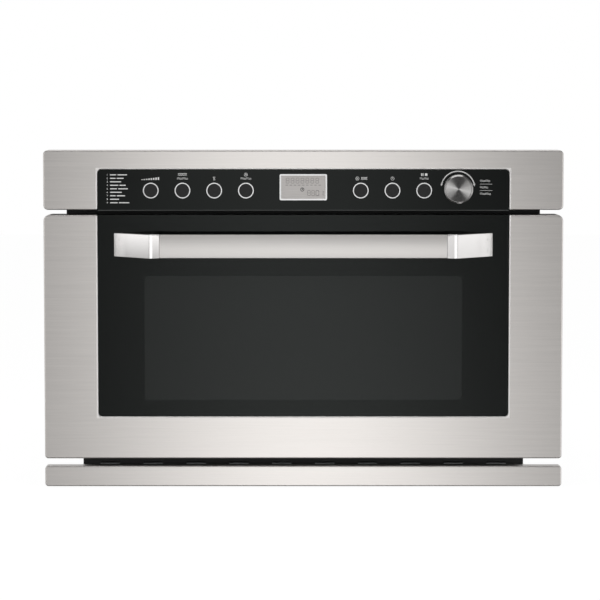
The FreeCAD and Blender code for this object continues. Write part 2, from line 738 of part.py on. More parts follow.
def make_door_skin():
    depth = INNER_FRONT - FRONT_FACE
    body = u_front(DOOR_BOTTOM, DOOR_TOP, DOOR_GLASS_BOTTOM, FRONT_CORNER, DOOR_TOP_CORNER, depth)
    cap_half = HALF_FRONT - DOOR_TOP_CORNER
    behind = (DOOR_GLASS_BACK - FIT, INNER_FRONT + OVERRUN)
    body = body.cut(block((-cap_half, cap_half), behind, (DOOR_TOP - CAP, DOOR_TOP + OVERRUN)))
    tail = (HINGE_Y + FLANGE_TAIL, INNER_FRONT + OVERRUN)
    below = (DOOR_BOTTOM - OVERRUN, LINER_BOTTOM)
    body = body.cut(block((-HALF_FRONT - OVERRUN, HALF_FRONT + OVERRUN), tail, below))
    half = HINGE_PLATE / 2 + EAR_GAP + EAR
    notch_y = (HINGE_Y - HINGE_BOSS - EAR_GAP, tail[1])
    notch = block((HINGE_X - half, HINGE_X + half), notch_y, below)
    return body.cut(notch).cut(mirrored(notch))


def handle_screw_points():
    x = HANDLE_HALF - BRACKET_THICKNESS * math.sqrt(2) / 2
    return [(side * x, z) for side in (-1, 1) for z in about(HANDLE_Z, HANDLE_SCREW_PITCH)]


def make_door_glass():
    x = (-GLASS_HALF + GLASS_FIT, GLASS_HALF - GLASS_FIT)
    z = (DOOR_GLASS_BOTTOM + GLASS_FIT, DOOR_TOP)
    pane = plate(x, (GLASS_FACE, DOOR_GLASS_BACK), z, GLASS_CORNER - GLASS_FIT, 0)
    for x_hole, z_hole in handle_screw_points():
        start = Vector(x_hole, GLASS_FACE - OVERRUN, z_hole)
        pane = pane.cut(rod(start, BACK, HANDLE_SCREW + FIT, DOOR_GLASS + 2 * OVERRUN))
    return pane


def latch_slot(y):
    z = (LATCH_Z - LATCH_SLOT_BELOW, LATCH_Z + LATCH_SLOT_ABOVE)
    return block(about(LATCH_X, LATCH_PLATE + 2 * LOOSE), y, z)


def hinge_slot(y):
    z = (LINER_BOTTOM - OVERRUN, HINGE_Z + HINGE_BOSS + EAR_GAP)
    return block(about(HINGE_X, HINGE_PLATE + 2 * EAR_GAP), y, z)


def inner_glass_spans(margin):
    x = grown((-HALF_CAVITY, HALF_CAVITY), margin)
    return x, grown((CAVITY_FLOOR, CAVITY_CEILING), margin)


def liner_screw_points():
    points = []
    for x in (LINER_HALF - LINER_SCREW_INSET, 0, -LINER_HALF + LINER_SCREW_INSET):
        for z in (LINER_BOTTOM + LINER_SCREW_INSET, INNER_TOP - LINER_SCREW_INSET):
            points.append((x, z))
    return points


def make_door_liner():
    """The moulding that closes the back of the door and forms its black top edge."""
    x = (-LINER_HALF, LINER_HALF)
    y = (LINER_FRONT, DOOR_BACK)
    back = plate(x, y, (LINER_BOTTOM, DOOR_TOP), FRONT_CORNER, DOOR_TOP_CORNER)
    cap_half = HALF_FRONT - DOOR_TOP_CORNER - FIT
    cap = block((-cap_half, cap_half), (DOOR_GLASS_BACK, LINER_FRONT), (INNER_TOP, DOOR_TOP))
    body = fuse(back, cap)
    glass_x, glass_z = inner_glass_spans(INNER_GLASS_MARGIN + GLASS_FIT)
    body = body.cut(block(glass_x, grown(y, OVERRUN), glass_z))
    for tool in (latch_slot(grown(y, OVERRUN)), hinge_slot(grown(y, OVERRUN))):
        body = body.cut(tool).cut(mirrored(tool))
    for x_hole, z_hole in liner_screw_points():
        seat = Vector(x_hole, DOOR_BACK - SCREW_HEAD_HEIGHT, z_hole)
        body = body.cut(rod(seat, BACK, SCREW_HEAD + FIT, SCREW_HEAD_HEIGHT + OVERRUN))
        body = body.cut(rod(Vector(x_hole, LINER_FRONT, z_hole), BACK, SCREW_HOLE, LINER))
    return body


def rim_spans():
    x = (-GLASS_HALF + RIM_INSET, GLASS_HALF - RIM_INSET)
    return x, (DOOR_GLASS_BOTTOM + RIM_INSET, DOOR_TOP - RIM_INSET)


def choke_spans():
    """The choke wall round the cavity mouth, kept inside the rim that carries the glass."""
    x, z = inner_glass_spans(CHOKE_INSET)
    return x, (max(z[0], rim_spans()[1][0] + 2 * INNER), z[1])


def make_door_inner_panel():
    """The steel panel with the window, the rim behind the glass, the choke wall and the latch ears."""
    y = (LINER_FRONT - INNER, LINER_FRONT)
    x = (-LINER_HALF, LINER_HALF)
    sheet = plate(x, y, (LINER_BOTTOM, INNER_TOP), FRONT_CORNER, DOOR_TOP_CORNER - CAP)
    rim_x, rim_z = rim_spans()
    rim = frame(rim_x, (DOOR_GLASS_BACK, INNER_FRONT), rim_z, INNER)
    choke_x, choke_z = choke_spans()
    choke = frame(choke_x, (INNER_FRONT - CHOKE_DEPTH, INNER_FRONT), choke_z, INNER)
    body = fuse(sheet, rim, choke)
    window_x = grown((-HALF_CAVITY, HALF_CAVITY), -WINDOW_SIDE)
    window_z = grown((CAVITY_FLOOR, CAVITY_CEILING), -WINDOW_EDGE)
    window = plate(window_x, grown(y, OVERRUN), window_z, WINDOW_CORNER, WINDOW_CORNER)
    body = body.cut(window)
    ear_x = LATCH_X + LATCH_PLATE / 2 + LOOSE
    ear_y = (LATCH_Y - LATCH_EAR_SIZE / 2, INNER_FRONT)
    ears = []
    for start in (ear_x, 2 * LATCH_X - ear_x - LATCH_EAR):
        ear = block((start, start + LATCH_EAR), ear_y, about(LATCH_Z, LATCH_EAR_SIZE))
        bore = rod(Vector(start, LATCH_Y, LATCH_Z), RIGHT, LATCH_PIN + RUN, LATCH_EAR)
        ears.append(ear.cut(bore))
    ears += [mirrored(ear) for ear in ears]
    body = fuse(body, *ears)
    for tool in (latch_slot(y), hinge_slot(grown(y, INNER))):
        body = body.cut(tool).cut(mirrored(tool))
    for x_hole, z_hole in liner_screw_points():
        body = body.cut(rod(Vector(x_hole, y[0], z_hole), BACK, SCREW_HOLE, INNER))
    return body


def make_window_screen():
    """The perforated sheet behind the window, laid inside the choke wall."""
    x, z = choke_spans()
    return block(grown(x, -INNER - FIT), (SCREEN_FRONT, INNER_FRONT), grown(z, -INNER - FIT))


def make_door_inner_glass():
    x, z = inner_glass_spans(INNER_GLASS_MARGIN)
    return block(x, (LINER_FRONT, DOOR_BACK), z)


def make_handle_bar():
    y = (HANDLE_FACE, HANDLE_FACE + BAR_THICKNESS)
    bar = block((-BAR_HALF, BAR_HALF), y, about(HANDLE_Z, BAR_HEIGHT))
    return round_along(bar, RIGHT, BAR_ROUND, lambda point: True)


def make_handle_brackets():
    """Angled ends that carry the bar and stand on the glass."""
    wide = BRACKET_THICKNESS * math.sqrt(2)
    back = HANDLE_FACE + BAR_THICKNESS
    inner_bend = HANDLE_HALF - wide - (GLASS_FACE - back)
    low = HANDLE_Z - BAR_HEIGHT / 2
    outline = [
        Vector(HANDLE_HALF, GLASS_FACE, low),
        Vector(BRACKET_BEND, HANDLE_FACE, low),
        Vector(BAR_HALF, HANDLE_FACE, low),
        Vector(BAR_HALF, back, low),
        Vector(max(inner_bend, BAR_HALF), back, low),
        Vector(HANDLE_HALF - wide, GLASS_FACE, low),
    ]
    body = extruded(outline, UP, BAR_HEIGHT)
    front = HANDLE_FACE + NEAR
    body = round_along(body, UP, BAR_ROUND, lambda point: point.y < front and point.x > BAR_HALF + NEAR)
    edges = []
    for edge in body.Edges:
        box = edge.BoundBox
        if box.ZLength < NEAR and min(box.XLength, box.YLength) > NEAR and box.XMax > BRACKET_BEND:
            edges.append(edge)
    body = body.makeFillet(BRACKET_ROUND, edges)
    for x, z in handle_screw_points():
        start = Vector(x, GLASS_FACE - HANDLE_SCREW_DEPTH - FIT, z)
        body = body.cut(rod(start, BACK, HANDLE_SCREW + RUN, HANDLE_SCREW_DEPTH + FIT))
    return both_sides(body)


def make_door_screws():
    screws = []
    for x, z in handle_screw_points():
        seat = Vector(x, DOOR_GLASS_BACK, z)
        screws.append(screw(seat, BACK, HANDLE_SCREW, DOOR_GLASS + HANDLE_SCREW_DEPTH))
    for x, z in liner_screw_points():
        seat = Vector(x, DOOR_BACK - SCREW_HEAD_HEIGHT, z)
        screws.append(screw(seat, BACK, SCREW, LINER_SCREW_LENGTH))
    return Part.makeCompound(screws)


def ear_starts():
    near_side = HINGE_X + HINGE_PLATE / 2 + EAR_GAP
    return (near_side, 2 * HINGE_X - near_side - EAR)


def make_door_hinge_leaves():
    """On each side two ears on the inner panel, the bridge between them and the pin they hold."""
    z = (LINER_BOTTOM, LINER_BOTTOM + EAR_HEIGHT)
    y = (INNER_FRONT - EAR_DEPTH, INNER_FRONT)
    ears = [block((start, start + EAR), y, z) for start in ear_starts()]
    slot_top = HINGE_Z + HINGE_BOSS + EAR_GAP
    bridge_x = (ear_starts()[1], ear_starts()[0] + EAR)
    bridge = block(bridge_x, (INNER_FRONT - EAR, INNER_FRONT), (slot_top, z[1]))
    leaf = fuse(ears[0], ears[1], bridge)
    pin_end = HALF_BODY + EAR
    pin = rod(Vector(bridge_x[0], HINGE_Y, HINGE_Z), RIGHT, HINGE_PIN, pin_end - bridge_x[0])
    leaf = leaf.cut(pin)
    return Part.makeCompound([leaf, pin, mirrored(leaf), mirrored(pin)])


def make_hinge_springs():
    """Coil springs around the outer ends of the hinge pins."""
    radius = HINGE_PIN + SPRING_WIRE / 2 + FIT
    height = SPRING_TURNS * SPRING_PITCH
    path = Part.Wire(Part.makeHelix(SPRING_PITCH, height, radius).Edges)
    circle = Part.Wire(Part.makeCircle(SPRING_WIRE / 2, Vector(radius, 0, 0), BACK))
    coil = path.makePipeShell([circle], True, True)
    start = Vector(ear_starts()[0] + EAR + SPRING_WIRE / 2 + RUN, HINGE_Y, HINGE_Z)
    coil.Placement = FreeCAD.Placement(start, FreeCAD.Rotation(UP, RIGHT))
    return both_sides(coil)


def make_chassis_hinges():
    """Arms that reach forward from behind the front plate and carry the door pins."""
    x = about(HINGE_X, HINGE_PLATE)
    arm = block(x, (HINGE_Y, HINGE_FOOT_PLATE), about(HINGE_Z, 2 * HINGE_BOSS))
    boss = rod(Vector(x[0], HINGE_Y, HINGE_Z), RIGHT, HINGE_BOSS, HINGE_PLATE)
    foot_x = (x[0] - HINGE_FOOT, x[1])
    foot = block(foot_x, (0, HINGE_FOOT_PLATE), about(HINGE_Z, HINGE_FOOT_HEIGHT))
    bore = rod(Vector(x[0], HINGE_Y, HINGE_Z), RIGHT, HINGE_PIN + RUN, HINGE_PLATE)
    return both_sides(fuse(arm, boss, foot).cut(bore))


def make_latch():
    """A hook on its own pivot pin, with the tooth pointing down."""
    x = LATCH_X - LATCH_PLATE / 2
    low = LATCH_Z - LATCH_HEIGHT / 2
    high = LATCH_Z + LATCH_HEIGHT / 2
    outline = [
        (LATCH_Y - LATCH_TAIL, low),
        (LATCH_NECK, low),
        (LATCH_NECK, low - LATCH_TOOTH),
        (LATCH_REACH - LATCH_SLOPE, low - LATCH_TOOTH),
        (LATCH_REACH, low + LATCH_TOOTH),
        (LATCH_REACH, high - LATCH_TOOTH),
        (LATCH_REACH - LATCH_SLOPE, high),
        (LATCH_Y - LATCH_TAIL, high),
    ]
    hook = extruded([Vector(x, y, z) for y, z in outline], RIGHT, LATCH_PLATE)
    pin_half = LATCH_PLATE / 2 + LOOSE + LATCH_EAR
    pin = rod(Vector(LATCH_X - pin_half, LATCH_Y, LATCH_Z), RIGHT, LATCH_PIN, 2 * pin_half)
    return fuse(hook, pin)


def make_interlock_switches():
    """On each side a bracket behind the front plate and a switch on its wall."""
    z = about(LATCH_Z, LATCH_SLOT_ABOVE + LATCH_SLOT_BELOW + SWITCH_BAY)
    wall_x = LATCH_X + SWITCH_BAY / 2
    walls = []
    for start in (wall_x, 2 * LATCH_X - wall_x - SWITCH_WALL):
        walls.append(block((start, start + SWITCH_WALL), (0, SWITCH_DEPTH), z))
    bridge_x = grown(about(LATCH_X, SWITCH_BAY), SWITCH_WALL)
    bridge = block(bridge_x, (0, SWITCH_DEPTH), (z[0] - SWITCH_WALL, z[0]))
    bracket = fuse(walls[0], walls[1], bridge)
    body_x = (wall_x + SWITCH_WALL, wall_x + SWITCH_WALL + SWITCH_BODY)
    body = block(body_x, about(SWITCH_DEPTH / 2, SWITCH_LENGTH), about(LATCH_Z, SWITCH_HEIGHT))
    return Part.makeCompound([bracket, body, mirrored(bracket), mirrored(body)])


def make_lower_trim():
    outlines = []
    for inset in (0, SKIN):
        half = HALF_FRONT - inset
        low = TRIM_LIFT + inset
        high = TRIM_TOP - inset
        corners = [(half, low), (half, high), (-half, high), (-half, low)]
        outlines.append([(x, z, FRONT_CORNER - inset) for x, z in corners])
    front = folded_front(outlines[0], outlines[1], TRIM_DEPTH)
    tongue_half = HALF_BODY - UPSTAND
    tongue_y = (FRONT_FACE + TRIM_DEPTH - SKIN, PLATE_FACE)
    tongue = block((-tongue_half, tongue_half), tongue_y, (TRIM_LIFT, TRIM_LIFT + SKIN))
    return fuse(front, tongue)


def grille_bottom():
    return DOOR_BOTTOM - GRILLE_DROP - GRILLE_HEIGHT


def vent_slots(y):
    z = about(grille_bottom() + SLOT_RISE, SLOT_HEIGHT)
    slots = []
    for number in range(SLOT_COUNT):
        x_centre = (number - (SLOT_COUNT - 1) / 2) * SLOT_PITCH
        slots.append(block(about(x_centre, SLOT_LENGTH), y, z))
    return Part.makeCompound(slots)


def make_vent_grille():
    y = (PLATE_FACE - GRILLE, PLATE_FACE)
    z = (grille_bottom(), grille_bottom() + GRILLE_HEIGHT)
    x = grown((-HALF_BODY, HALF_BODY), GRILLE_OVERHANG)
    return block(x, y, z).cut(vent_slots(grown(y, OVERRUN)))


def make_front_plate():
    y = (PLATE_FACE, 0)
    body = block((-HALF_BODY, HALF_BODY), y, (BASE, BODY_HEIGHT))
    through = grown(y, OVERRUN)
    mouth_x, mouth_z = inner_glass_spans(0)
    body = body.cut(block(mouth_x, through, mouth_z))
    arm_z = about(HINGE_Z, 2 * (HINGE_BOSS + LOOSE))
    arm_slot = block(about(HINGE_X, HINGE_PLATE + 2 * EAR_GAP), through, arm_z)
    for tool in (latch_slot(through), arm_slot):
        body = body.cut(tool).cut(mirrored(tool))
    cable = block(about(0, CABLE_HOLE_WIDTH), through, about(BUTTON_Z, CABLE_HOLE_HEIGHT))
    return body.cut(cable).cut(vent_slots(through))


def mount_points():
    x = HALF_BODY + FLANGE_REACH / 2
    return [(x, z) for z in about(FLANGE_MIDDLE, MOUNT_SPACING)]


def flange_screw_levels():
    return grown(about(FLANGE_MIDDLE, MOUNT_SPACING), UPSTAND)


def make_mounting_flanges():
    z = (FLANGE_BOTTOM, FLANGE_TOP)
    flange = block((HALF_BODY, HALF_BODY + FLANGE_REACH), (-FLANGE, 0), z)
    leg = block((HALF_BODY, HALF_BODY + PLATE), (0, FLANGE_LEG), z)
    body = fuse(flange, leg)
    for x, level in mount_points():
        body = body.cut(rod(Vector(x, -FLANGE, level), BACK, MOUNT_HOLE, FLANGE))
    for level in flange_screw_levels():
        start = Vector(HALF_BODY, FLANGE_LEG / 2, level)
        body = body.cut(rod(start, RIGHT, SCREW_HOLE, PLATE))
    return both_sides(body)


def side_screw_seats():
    """The seats of the casing screws on the right side, with the hole each one needs."""
    seats = [Vector(HALF_BODY + PLATE, FLANGE_LEG / 2, z) for z in flange_screw_levels()]
    upstand_z = BASE + UPSTAND / 2
    for y in (UPSTAND_SETBACK + UPSTAND, BODY_DEPTH / 2, BODY_DEPTH - BACK_FLANGE - 2 * UPSTAND):
        seats.append(Vector(HALF_BODY, y, upstand_z))
    for z in grown(about(BODY_HEIGHT / 2, MOUNT_SPACING), UPSTAND):
        seats.append(Vector(HALF_BODY, BACK_FACE - BACK_FLANGE / 2, z))
    return seats


def with_side_holes(body):
    for seat in side_screw_seats():
        start = Vector(INSIDE_HALF - SCREW_LENGTH, seat.y, seat.z)
        hole = rod(start, RIGHT, SCREW_HOLE, SCREW_LENGTH + OVERRUN)
        body = body.cut(hole).cut(mirrored(hole))
    return body


def make_chassis_screws():
    screws = [screw(seat, RIGHT, SCREW, SCREW_LENGTH) for seat in side_screw_seats()]
    return Part.makeCompound(screws + [mirrored(piece) for piece in screws])


def slot_row(x_centre, y, z_centre):
    """A row of upright air slots seen from the back."""
    slots = []
    for number in range(VENT_COUNT):
        x = about(x_centre + (number - (VENT_COUNT - 1) / 2) * VENT_PITCH, VENT_WIDTH)
        slots.append(block(x, y, about(z_centre, VENT_LENGTH)))
    return Part.makeCompound(slots)


def make_base_plate():
    floor = block((-HALF_BODY, HALF_BODY), (PLATE_FACE, BODY_DEPTH), (0, BASE))
    upstand_x = (INSIDE_HALF - BASE, INSIDE_HALF)
    upstand_y = (UPSTAND_SETBACK, BACK_FACE - BACK_FLANGE - SHEET)
    upstand = block(upstand_x, upstand_y, (BASE, BASE + UPSTAND))
    body = fuse(floor, upstand, mirrored(upstand))
    for number in range(VENT_COUNT):
        y = about(BODY_DEPTH / 2 + (number - (VENT_COUNT - 1) / 2) * VENT_PITCH, VENT_WIDTH)
        body = body.cut(block(about(0, VENT_LENGTH), y, grown((0, BASE), OVERRUN)))
    return with_side_holes(body)


def make_outer_cover():
    y = (0, BODY_DEPTH)
    outer = plate((-HALF_BODY, HALF_BODY), y, (BASE, BODY_HEIGHT), 0, COVER_CORNER)
    inside_z = (BASE - OVERRUN, BODY_HEIGHT - SHEET)
    inside = plate((-INSIDE_HALF, INSIDE_HALF), grown(y, OVERRUN), inside_z, 0, COVER_CORNER - SHEET)
    body = outer.cut(inside)
    for number in range(VENT_COUNT):
        vent_y = about(GUIDE_CENTRE + (number - (VENT_COUNT - 1) / 2) * VENT_PITCH, VENT_WIDTH)
        wide = (HALF_CAVITY, HALF_BODY + OVERRUN)
        slot = block(wide, vent_y, about(YOKE_Z, VENT_LENGTH))
        body = body.cut(slot).cut(mirrored(slot))
    return with_side_holes(body)


def make_back_panel():
    x = (-INSIDE_HALF, INSIDE_HALF)
    z = (BASE, BODY_HEIGHT - SHEET)
    sheet = plate(x, (BACK_FACE, BODY_DEPTH), z, 0, COVER_CORNER - SHEET)
    side_y = (BACK_FACE - BACK_FLANGE, BACK_FACE)
    side = block((INSIDE_HALF - SHEET, INSIDE_HALF), side_y, grown(z, -COVER_CORNER))
    body = fuse(sheet, side, mirrored(side))
    through = grown((BACK_FACE, BODY_DEPTH), SHEET)
    body = body.cut(slot_row(FAN_X, through, FAN_Z)).cut(slot_row(-FAN_X, through, FAN_Z))
    start = Vector(GLAND_X, BACK_FACE - OVERRUN, GLAND_Z)
    return with_side_holes(body.cut(rod(start, BACK, GLAND + RUN, SHEET + 2 * OVERRUN)))


def make_cord_gland():
    flange = rod(Vector(GLAND_X, BODY_DEPTH, GLAND_Z), BACK, GLAND_FLANGE, GLAND_FLANGE_THICK)
    sleeve_start = BODY_DEPTH + GLAND_FLANGE_THICK - GLAND_LENGTH
    sleeve = rod(Vector(GLAND_X, sleeve_start, GLAND_Z), BACK, GLAND, GLAND_LENGTH)
    bore = rod(Vector(GLAND_X, sleeve_start, GLAND_Z), BACK, GLAND_BORE, GLAND_LENGTH)
    return fuse(flange, sleeve).cut(bore)


def hole_grid(centre, across, up, normal, columns, rows, pitch, radius):
    """A grid of round holes through a sheet, centred on a point."""
    holes = []
    for column in range(columns):
        for row in range(rows):
            middle = centre + across * ((column - (columns - 1) / 2) * pitch)
            middle += up * ((row - (rows - 1) / 2) * pitch)
            holes.append(rod(middle - normal * OVERRUN, normal, radius, 2 * OVERRUN))
    return Part.makeCompound(holes)


def make_cavity():
    """The wrapped floor, back and ceiling, and the two side walls."""
    outer_z = (CAVITY_FLOOR - SHEET, CAVITY_CEILING + SHEET)
    x = (-HALF_CAVITY, HALF_CAVITY)
    outer = block(x, (0, CAVITY_BACK), outer_z)
    outer = round_along(outer, RIGHT, CAVITY_BEND + SHEET, lambda point: point.y > TABLE_Y)
    inner = block(grown(x, OVERRUN), (-OVERRUN, CAVITY_DEPTH), (CAVITY_FLOOR, CAVITY_CEILING))
    inner = round_along(inner, RIGHT, CAVITY_BEND, lambda point: point.y > TABLE_Y)
    wrapper = outer.cut(inner)
    depth = SHEET + 2 * OVERRUN
    wrapper = wrapper.cut(rod(Vector(0, TABLE_Y, outer_z[0] - OVERRUN), UP, COUPLING_HOLE, depth))
    start_y = CAVITY_DEPTH - OVERRUN
    for ring in range(1, AIR_RINGS + 1):
        for number in range(6 * ring):
            angle = math.radians(60 / ring) * number
            x_hole = ring * AIR_PITCH * math.cos(angle)
            z_hole = CAVITY_CENTRE + ring * AIR_PITCH * math.sin(angle)
            wrapper = wrapper.cut(rod(Vector(x_hole, start_y, z_hole), BACK, AIR_HOLE, depth))
    for side in (-1, 1):
        point = Vector(side * (PAN_HALF - OUTLET_INSET), CAVITY_DEPTH, CAVITY_CENTRE)
        wrapper = wrapper.cut(hole_grid(point, RIGHT, UP, BACK, 1, OUTLET_ROWS, AIR_PITCH, AIR_HOLE))
        leg = Vector(side * grill_run_xs()[-1], start_y, CAVITY_CEILING - GRILL_DROP)
        wrapper = wrapper.cut(rod(leg, BACK, TUBE + FIT, depth))
    wall = block((HALF_CAVITY, CAVITY_SIDE), (0, CAVITY_BACK), outer_z)
    wall = round_along(wall, RIGHT, CAVITY_BEND + SHEET, lambda point: point.y > TABLE_Y)
    port_y = about(GUIDE_CENTRE, GUIDE_PORT_WIDTH)
    port_z = about(GUIDE_PORT_Z, GUIDE_PORT_HEIGHT)
    right = wall.cut(block(grown((HALF_CAVITY, CAVITY_SIDE), SHEET), port_y, port_z))
    lamp = Vector(-HALF_CAVITY, LAMP_Y, CAVITY_CEILING - LAMP_DROP)
    holes = hole_grid(lamp, BACK, UP, RIGHT, LAMP_COLUMNS, LAMP_ROWS, LAMP_PITCH, LAMP_HOLE)
    left = mirrored(wall).cut(holes)
    return Part.makeCompound([wrapper, left, right])


def make_waveguide_cover():
    y = grown(about(GUIDE_CENTRE, GUIDE_PORT_WIDTH), MICA_MARGIN)
    z = grown(about(GUIDE_PORT_Z, GUIDE_PORT_HEIGHT), MICA_MARGIN)
    return block((HALF_CAVITY - MICA, HALF_CAVITY), y, z)


def make_waveguide():
    """A closed sheet duct from the magnetron down to the port in the cavity wall."""
    x = (CAVITY_SIDE, CAVITY_SIDE + GUIDE_DEPTH)
    y = about(GUIDE_CENTRE, GUIDE_WIDTH)
    z = (GUIDE_BOTTOM, GUIDE_TOP)
    duct = block(x, y, z).cut(block(grown(x, -SHEET), grown(y, -SHEET), grown(z, -SHEET)))
    through = (CAVITY_SIDE - SHEET, CAVITY_SIDE + 2 * SHEET)
    port_y = about(GUIDE_CENTRE, GUIDE_PORT_WIDTH)
    port = block(through, port_y, about(GUIDE_PORT_Z, GUIDE_PORT_HEIGHT))
    start = Vector(through[0], GUIDE_CENTRE, YOKE_Z)
    return duct.cut(port).cut(rod(start, RIGHT, ANTENNA_HOLE, through[1] - through[0]))


def make_magnetron():
    """Yoke, finned anode, two ring magnets, antenna and filter box."""
    x = (CAVITY_SIDE - YOKE_LENGTH, CAVITY_SIDE)
    y = about(GUIDE_CENTRE, YOKE_WIDTH)
    z = about(YOKE_Z, YOKE_HEIGHT)
    inner_x = grown(x, -YOKE_WALL)
    inner_z = grown(z, -YOKE_WALL)
    yoke = block(x, y, z).cut(block(inner_x, grown(y, OVERRUN), inner_z))
    centre = Vector(0, GUIDE_CENTRE, YOKE_Z)
    magnets = []
    for start in (inner_x[0], inner_x[1] - MAGNET):
        magnets.append(rod(centre + RIGHT * start, RIGHT, MAGNET_RADIUS, MAGNET))
    anode_x = grown(inner_x, -MAGNET)
    anode = rod(centre + RIGHT * anode_x[0], RIGHT, ANODE_RADIUS, anode_x[1] - anode_x[0])
    pitch = (anode_x[1] - anode_x[0]) / (FIN_COUNT + 1)
    fins = []
    for number in range(FIN_COUNT):
        fin_x = about(anode_x[0] + (number + 1) * pitch, FIN)
        fins.append(block(fin_x, grown(y, -FIN_MARGIN), grown(inner_z, -FIN_MARGIN)))
    antenna = rod(centre + RIGHT * CAVITY_SIDE, RIGHT, ANTENNA_RADIUS, ANTENNA_LENGTH)
    box_y = about(GUIDE_CENTRE, FILTER_BOX_SIZE)
    box = block((x[0] - FILTER_BOX, x[0]), box_y, about(YOKE_Z, FILTER_BOX_SIZE))
    return Part.makeCompound([fuse(yoke, antenna), fuse(anode, *fins), box] + magnets)


def make_transformer():
    """A laminated core with two windows and the two windings round its middle leg."""
    x = about(CORE_X, CORE_WIDTH)
    y = about(TABLE_Y, CORE_DEPTH)
    z = (BASE, BASE + CORE_HEIGHT)
    leg_x = about(CORE_X, CORE_CENTRE_LEG)
    window_z = grown(z, -CORE_LEG)
    core = block(x, y, z)
    for window_x in ((x[0] + CORE_LEG, leg_x[0]), (leg_x[1], x[1] - CORE_LEG)):
        core = core.cut(block(window_x, grown(y, OVERRUN), window_z))
    coil_x = grown(x, -CORE_LEG - FIT)
    middle = sum(window_z) / 2
    coils = []
    for coil_z in ((window_z[0], middle - FIT / 2), (middle + FIT / 2, window_z[1])):
        coil = block(coil_x, grown(y, WINDING_OVERHANG), coil_z)
        coils.append(coil.cut(block(leg_x, y, coil_z)))
    return Part.makeCompound([core] + coils)


def make_hv_capacitor():
    """A flat can with two blade terminals, held to the base by a strap."""
    x = about(CAN_X, CAN_WIDTH)
    y = about(CAN_Y, CAN_LENGTH)
    z = (BASE, BASE + CAN_HEIGHT)
    can = round_along(block(x, y, z), BACK, CAN_ROUND, lambda point: True)
    strap_y = about(CAN_Y, STRAP_WIDTH)
    strap = block(grown(x, STRAP), strap_y, (BASE, z[1] + STRAP)).cut(block(x, strap_y, z))
    feet = block(grown(x, STRAP + STRAP_FOOT), strap_y, (BASE, BASE + STRAP))
    feet = feet.cut(block(x, strap_y, z))
    blades = []
    for blade_x in about(CAN_X, CAN_WIDTH / 2):
        blade_y = (y[0] - TERMINAL_LENGTH, y[0])
        blade_z = about(sum(z) / 2, TERMINAL_THICK)
        blades.append(block(about(blade_x, TERMINAL_WIDTH), blade_y, blade_z))
    return Part.makeCompound([fuse(can, *blades), fuse(strap, feet)])


def make_cooling_fan_housing():
    """A square frame on the back panel with the motor held by four struts."""
    y = (BACK_FACE - FAN_DEPTH, BACK_FACE)
    case = block(about(FAN_X, FAN_FRAME), y, about(FAN_Z, FAN_FRAME))
    start = Vector(FAN_X, y[0], FAN_Z)
    case = case.cut(rod(start, BACK, FAN_BORE, FAN_DEPTH))
    motor_y = (BACK_FACE - FAN_MOTOR_DEPTH, BACK_FACE)
    motor = rod(Vector(FAN_X, motor_y[0], FAN_Z), BACK, FAN_MOTOR, FAN_MOTOR_DEPTH)
    strut_y = (BACK_FACE - FAN_STRUT, BACK_FACE)
    long_side = 2 * FAN_BORE + FAN_STRUT
    cross = fuse(
        block(about(FAN_X, long_side), strut_y, about(FAN_Z, FAN_STRUT)),
        block(about(FAN_X, FAN_STRUT), strut_y, about(FAN_Z, long_side)),
    )
    bore = rod(Vector(FAN_X, motor_y[0], FAN_Z), BACK, FAN_AXLE + RUN, FAN_AXLE_DEPTH + FIT)
    return fuse(case, motor, cross).cut(bore)


def make_cooling_fan():
    motor_face = BACK_FACE - FAN_MOTOR_DEPTH
    hub_back = motor_face - FAN_AXIAL_GAP
    hub = rod(Vector(FAN_X, hub_back - FAN_HUB_DEPTH, FAN_Z), BACK, FAN_HUB, FAN_HUB_DEPTH)
    axle_length = FAN_HUB_DEPTH + FAN_AXIAL_GAP + FAN_AXLE_DEPTH
    axle = rod(Vector(FAN_X, hub_back - FAN_HUB_DEPTH, FAN_Z), BACK, FAN_AXLE, axle_length)
    middle = Vector(FAN_X, hub_back - FAN_HUB_DEPTH / 2, FAN_Z)
    tip = FAN_BORE - FAN_TIP_GAP
    blades = []
    for number in range(FAN_BLADES):
        blade = block((0, tip), about(0, FAN_BLADE_SHEET), about(0, FAN_BLADE_CHORD))
        blade.rotate(ORIGIN, RIGHT, FAN_BLADE_ANGLE)
        blade.rotate(ORIGIN, RIGHT, 90)
        blade.rotate(ORIGIN, BACK, 360 / FAN_BLADES * number)
        blade.translate(middle)
        blades.append(blade)
    wheel = fuse(hub, axle, *blades)
    band = rod(Vector(FAN_X, BACK_FACE - FAN_DEPTH, FAN_Z), BACK, tip, FAN_DEPTH)
    return wheel.common(band).removeSplitter()


def make_hot_air_cover():
    """A sheet pan on the back of the cavity, round the ring heater and fan wheel."""
    x = (-PAN_HALF, PAN_HALF)
    y = (CAVITY_BACK, CAVITY_BACK + PAN_DEPTH)
    z = (CAVITY_CENTRE - PAN_HALF, CAVITY_CENTRE + PAN_HALF)
    pan = block(x, y, z)
    rim = block(grown(x, PAN_RIM), (y[0], y[0] + SHEET), grown(z, PAN_RIM))
    inside = block(grown(x, -SHEET), (y[0] - OVERRUN, y[1] - SHEET), grown(z, -SHEET))
    body = fuse(pan, rim).cut(inside)
    start_y = y[1] - SHEET - OVERRUN
    depth = SHEET + 2 * OVERRUN
    body = body.cut(rod(Vector(0, start_y, CAVITY_CENTRE), BACK, FAN_SHAFT + LOOSE, depth))
    for tail in heater_tails():
        body = body.cut(rod(Vector(tail.x, start_y, tail.z), BACK, TUBE + FIT, depth))
    return body


